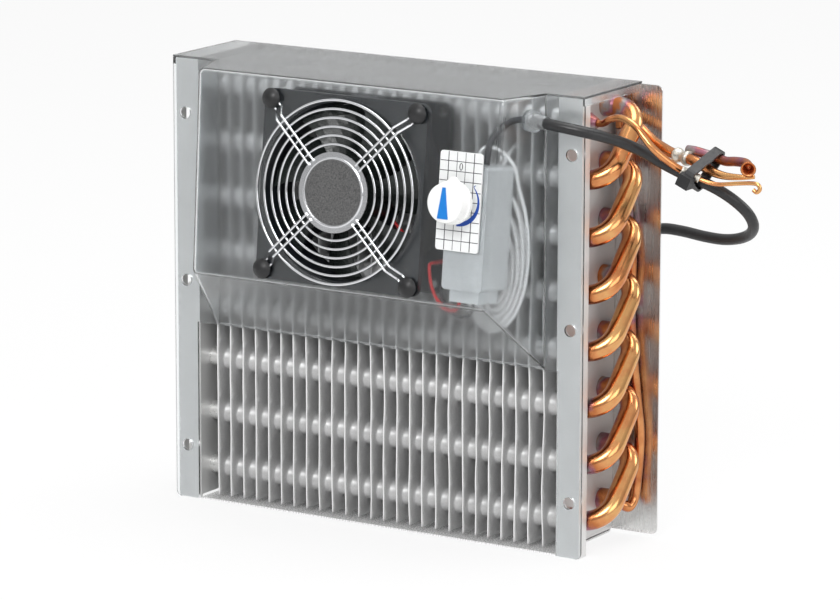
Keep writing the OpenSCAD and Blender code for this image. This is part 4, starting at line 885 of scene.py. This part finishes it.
def flatStrip(points, width, height, thick):
    # a thin printed band along points on the face
    left, right = [], []
    for i, p in enumerate(points):
        a, b = points[max(i - 1, 0)], points[min(i + 1, len(points) - 1)]
        run = (Vector(b) - Vector(a)).normalized()
        side = Vector((-run.y, run.x)) * ((width[i] if hasattr(width, "__len__") else width) / 2)
        left.append(Vector(p) + side)
        right.append(Vector(p) - side)
    n = len(points)
    verts = [(v.x, v.y, height + thick) for v in left + right] + [(v.x, v.y, height) for v in left + right]
    faces = []
    for i in range(n - 1):
        faces += [(i, n + i, n + i + 1, i + 1), (2 * n + i + 1, 3 * n + i + 1, 3 * n + i, 2 * n + i),
                  (i + 1, 2 * n + i + 1, 2 * n + i, i), (n + i, 3 * n + i, 3 * n + i + 1, n + i + 1)]
    faces += [(0, 2 * n, 3 * n, n), (n - 1, 2 * n - 1, 4 * n - 1, 3 * n - 1)]
    return verts, faces


def makeDial(s):
    verts, faces = [], []

    def add(points, width):
        more, rings = flatStrip(points, width, s["face"], s["print"])
        faces.extend([tuple(len(verts) + k for k in f) for f in rings])
        verts.extend(more)

    upGap, acrossGap = s["endGap"]
    broad, thin = s["lineShares"]
    for k in range(1, s["columns"]):
        x = -s["halfWidth"] + k * s["pitch"]
        ends = [(x, -s["halfHeight"] + upGap), (x, s["halfHeight"] - upGap)]
        add(ends, s["line"] * (broad if k in (1, s["columns"] - 1) else thin))
    for k in range(1, s["rows"]):
        y = s["halfHeight"] - k * s["pitch"]
        add([(-s["halfWidth"] + acrossGap, y), (s["halfWidth"] - acrossGap, y)], s["line"])
    grid = newPiece("dialSquares", verts, faces, smooth=False, place=dialPlace)
    dress(grid, materials["printBlack"], "case", "dial_plastic")
    makeScale(s)
    makeZero(s)


def makeScale(s):
    # a blue arc that widens as it goes round, with a small hook at its start
    r = s["scaleRadius"]
    arc = [(r * math.cos(math.radians(a)), r * math.sin(math.radians(a))) for a in range(*s["scaleTurn"])]
    least, more = s["scaleWidth"]
    wide = [least + more * min(1, i / s["scaleGrowth"]) for i in range(len(arc))]
    hook = [(arc[0][0] + x, arc[0][1] + y) for x, y in s["hook"]]
    verts, faces = flatStrip(hook + arc, s["hookWidth"] + wide, s["face"] + s["print"], s["print"])
    scale = newPiece("dialScale", verts, faces, smooth=False, place=dialPlace)
    dress(scale, materials["scaleBlue"], "case", "pointer_blue")


def makeZero(s):
    # the printed 0: an upright oval ring
    n = s["zeroSides"]
    rings = []
    for wide, high in (s["zeroOuter"], s["zeroInner"]):
        turns = [2 * math.pi * k / n for k in range(n)]
        rings.append([(wide * math.cos(a), s["zeroAt"] + high * math.sin(a)) for a in turns])
    top = s["face"] + s["print"]
    verts = [(x, y, z) for z in (top, s["face"]) for ring in rings for x, y in ring]
    faces = []
    for k in range(n):
        j = (k + 1) % n
        faces += [(k, j, n + j, n + k), (2 * n + j, 2 * n + k, 3 * n + k, 3 * n + j)]
        faces += [(2 * n + k, 2 * n + j, j, k), (n + k, n + j, 3 * n + j, 3 * n + k)]
    zero = newPiece("dialZero", verts, faces, smooth=False, place=dialPlace)
    dress(zero, materials["printBlack"], "case", "dial_plastic")


makeDial(dialSettings)
print("dial ready")

# Plain pale floor, soft lights
stageSettings = {
    "floorSize": 8.0, "floorShade": 0.86, "floorColour": (0.9, 0.9, 0.9), "floorRough": 0.8,
    "floorSpecular": 0.1,
}
worldSettings = {"heights": (-0.2, 0.7), "levels": (0.35, 1.0), "plain": 0.55, "glossy": 0.25}
lights = {
    "keyLight": dict(power=26, size=(1.0, 0.8), place=(0.5, -1.9, 1.5)),
    "fillLight": dict(power=9, size=(1.4, 1.0), place=(1.9, -0.9, 0.8)),
    "topLight": dict(power=16, size=(1.2, 1.0), place=(0.2, 0.2, 1.9)),
    "rimLight": dict(power=8, size=(0.8, 0.8), place=(1.4, 1.5, 0.9)),
}


def makeStage(s):
    half = s["floorSize"] / 2
    corners = [(-half, -half, 0), (half, -half, 0), (half, half, 0), (-half, half, 0)]
    floor = newPiece("floor", corners, [(0, 1, 2, 3)], smooth=False)
    material, tree, shader = newMaterial("paleFloor", s["floorColour"], 0.0, s["floorRough"])
    shader.inputs["Specular IOR Level"].default_value = s["floorSpecular"]
    path = addNode(tree, "ShaderNodeLightPath")
    mirrored = mathNode(tree, "MAXIMUM", path.outputs["Is Glossy Ray"], path.outputs["Is Transmission Ray"])
    seen = mathNode(tree, "MAXIMUM", path.outputs["Is Camera Ray"], mirrored)
    glow = addNode(tree, "ShaderNodeEmission", inputs={"Color": (1, 1, 1, 1), "Strength": 1.0})
    mix = addNode(tree, "ShaderNodeMixShader", inputs={0: mathNode(tree, "MULTIPLY", seen, s["floorShade"])})
    tree.links.new(shader.outputs[0], mix.inputs[1])
    tree.links.new(glow.outputs[0], mix.inputs[2])
    tree.links.new(mix.outputs[0], tree.nodes["Material Output"].inputs["Surface"])
    floor.data.materials.append(material)


def makeWorld(s):
    world = bpy.data.worlds.new("paleWorld")
    world.use_nodes = True
    tree = world.node_tree
    back = tree.nodes["Background"]
    path = addNode(tree, "ShaderNodeLightPath")
    place = addNode(tree, "ShaderNodeTexCoord")
    axes = addNode(tree, "ShaderNodeSeparateXYZ", inputs={0: place.outputs["Generated"]})
    # metal sees a brighter sky above and a darker band towards the floor line
    band = ranged(tree, axes.outputs["Z"], *s["heights"], *s["levels"])
    seen = mathNode(tree, "MAXIMUM", path.outputs["Is Camera Ray"], path.outputs["Is Transmission Ray"])
    mirrored = mathNode(tree, "MULTIPLY", path.outputs["Is Glossy Ray"], s["glossy"])
    lit = mathNode(tree, "MULTIPLY", band, mathNode(tree, "ADD", s["plain"], mirrored))
    tree.links.new(mathNode(tree, "MAXIMUM", seen, lit), back.inputs["Strength"])
    back.inputs["Color"].default_value = (1, 1, 1, 1)
    bpy.context.scene.world = world


lightTarget = (0.03, 0, 0.12)


def makeLight(name, power, size, place):
    data = bpy.data.lights.new(name, "AREA")
    data.energy = power
    data.shape = "RECTANGLE"
    data.size, data.size_y = size
    lamp = bpy.data.objects.new(name, data)
    bpy.context.scene.collection.objects.link(lamp)
    look = Vector(lightTarget) - Vector(place)
    lamp.matrix_world = Matrix.Translation(place) @ look.to_track_quat("-Z", "Y").to_matrix().to_4x4()


makeStage(stageSettings)
makeWorld(worldSettings)
for label, look in lights.items():
    makeLight(label, **look)
bpy.context.scene.view_settings.view_transform = "Standard"
print("stage and lights ready")
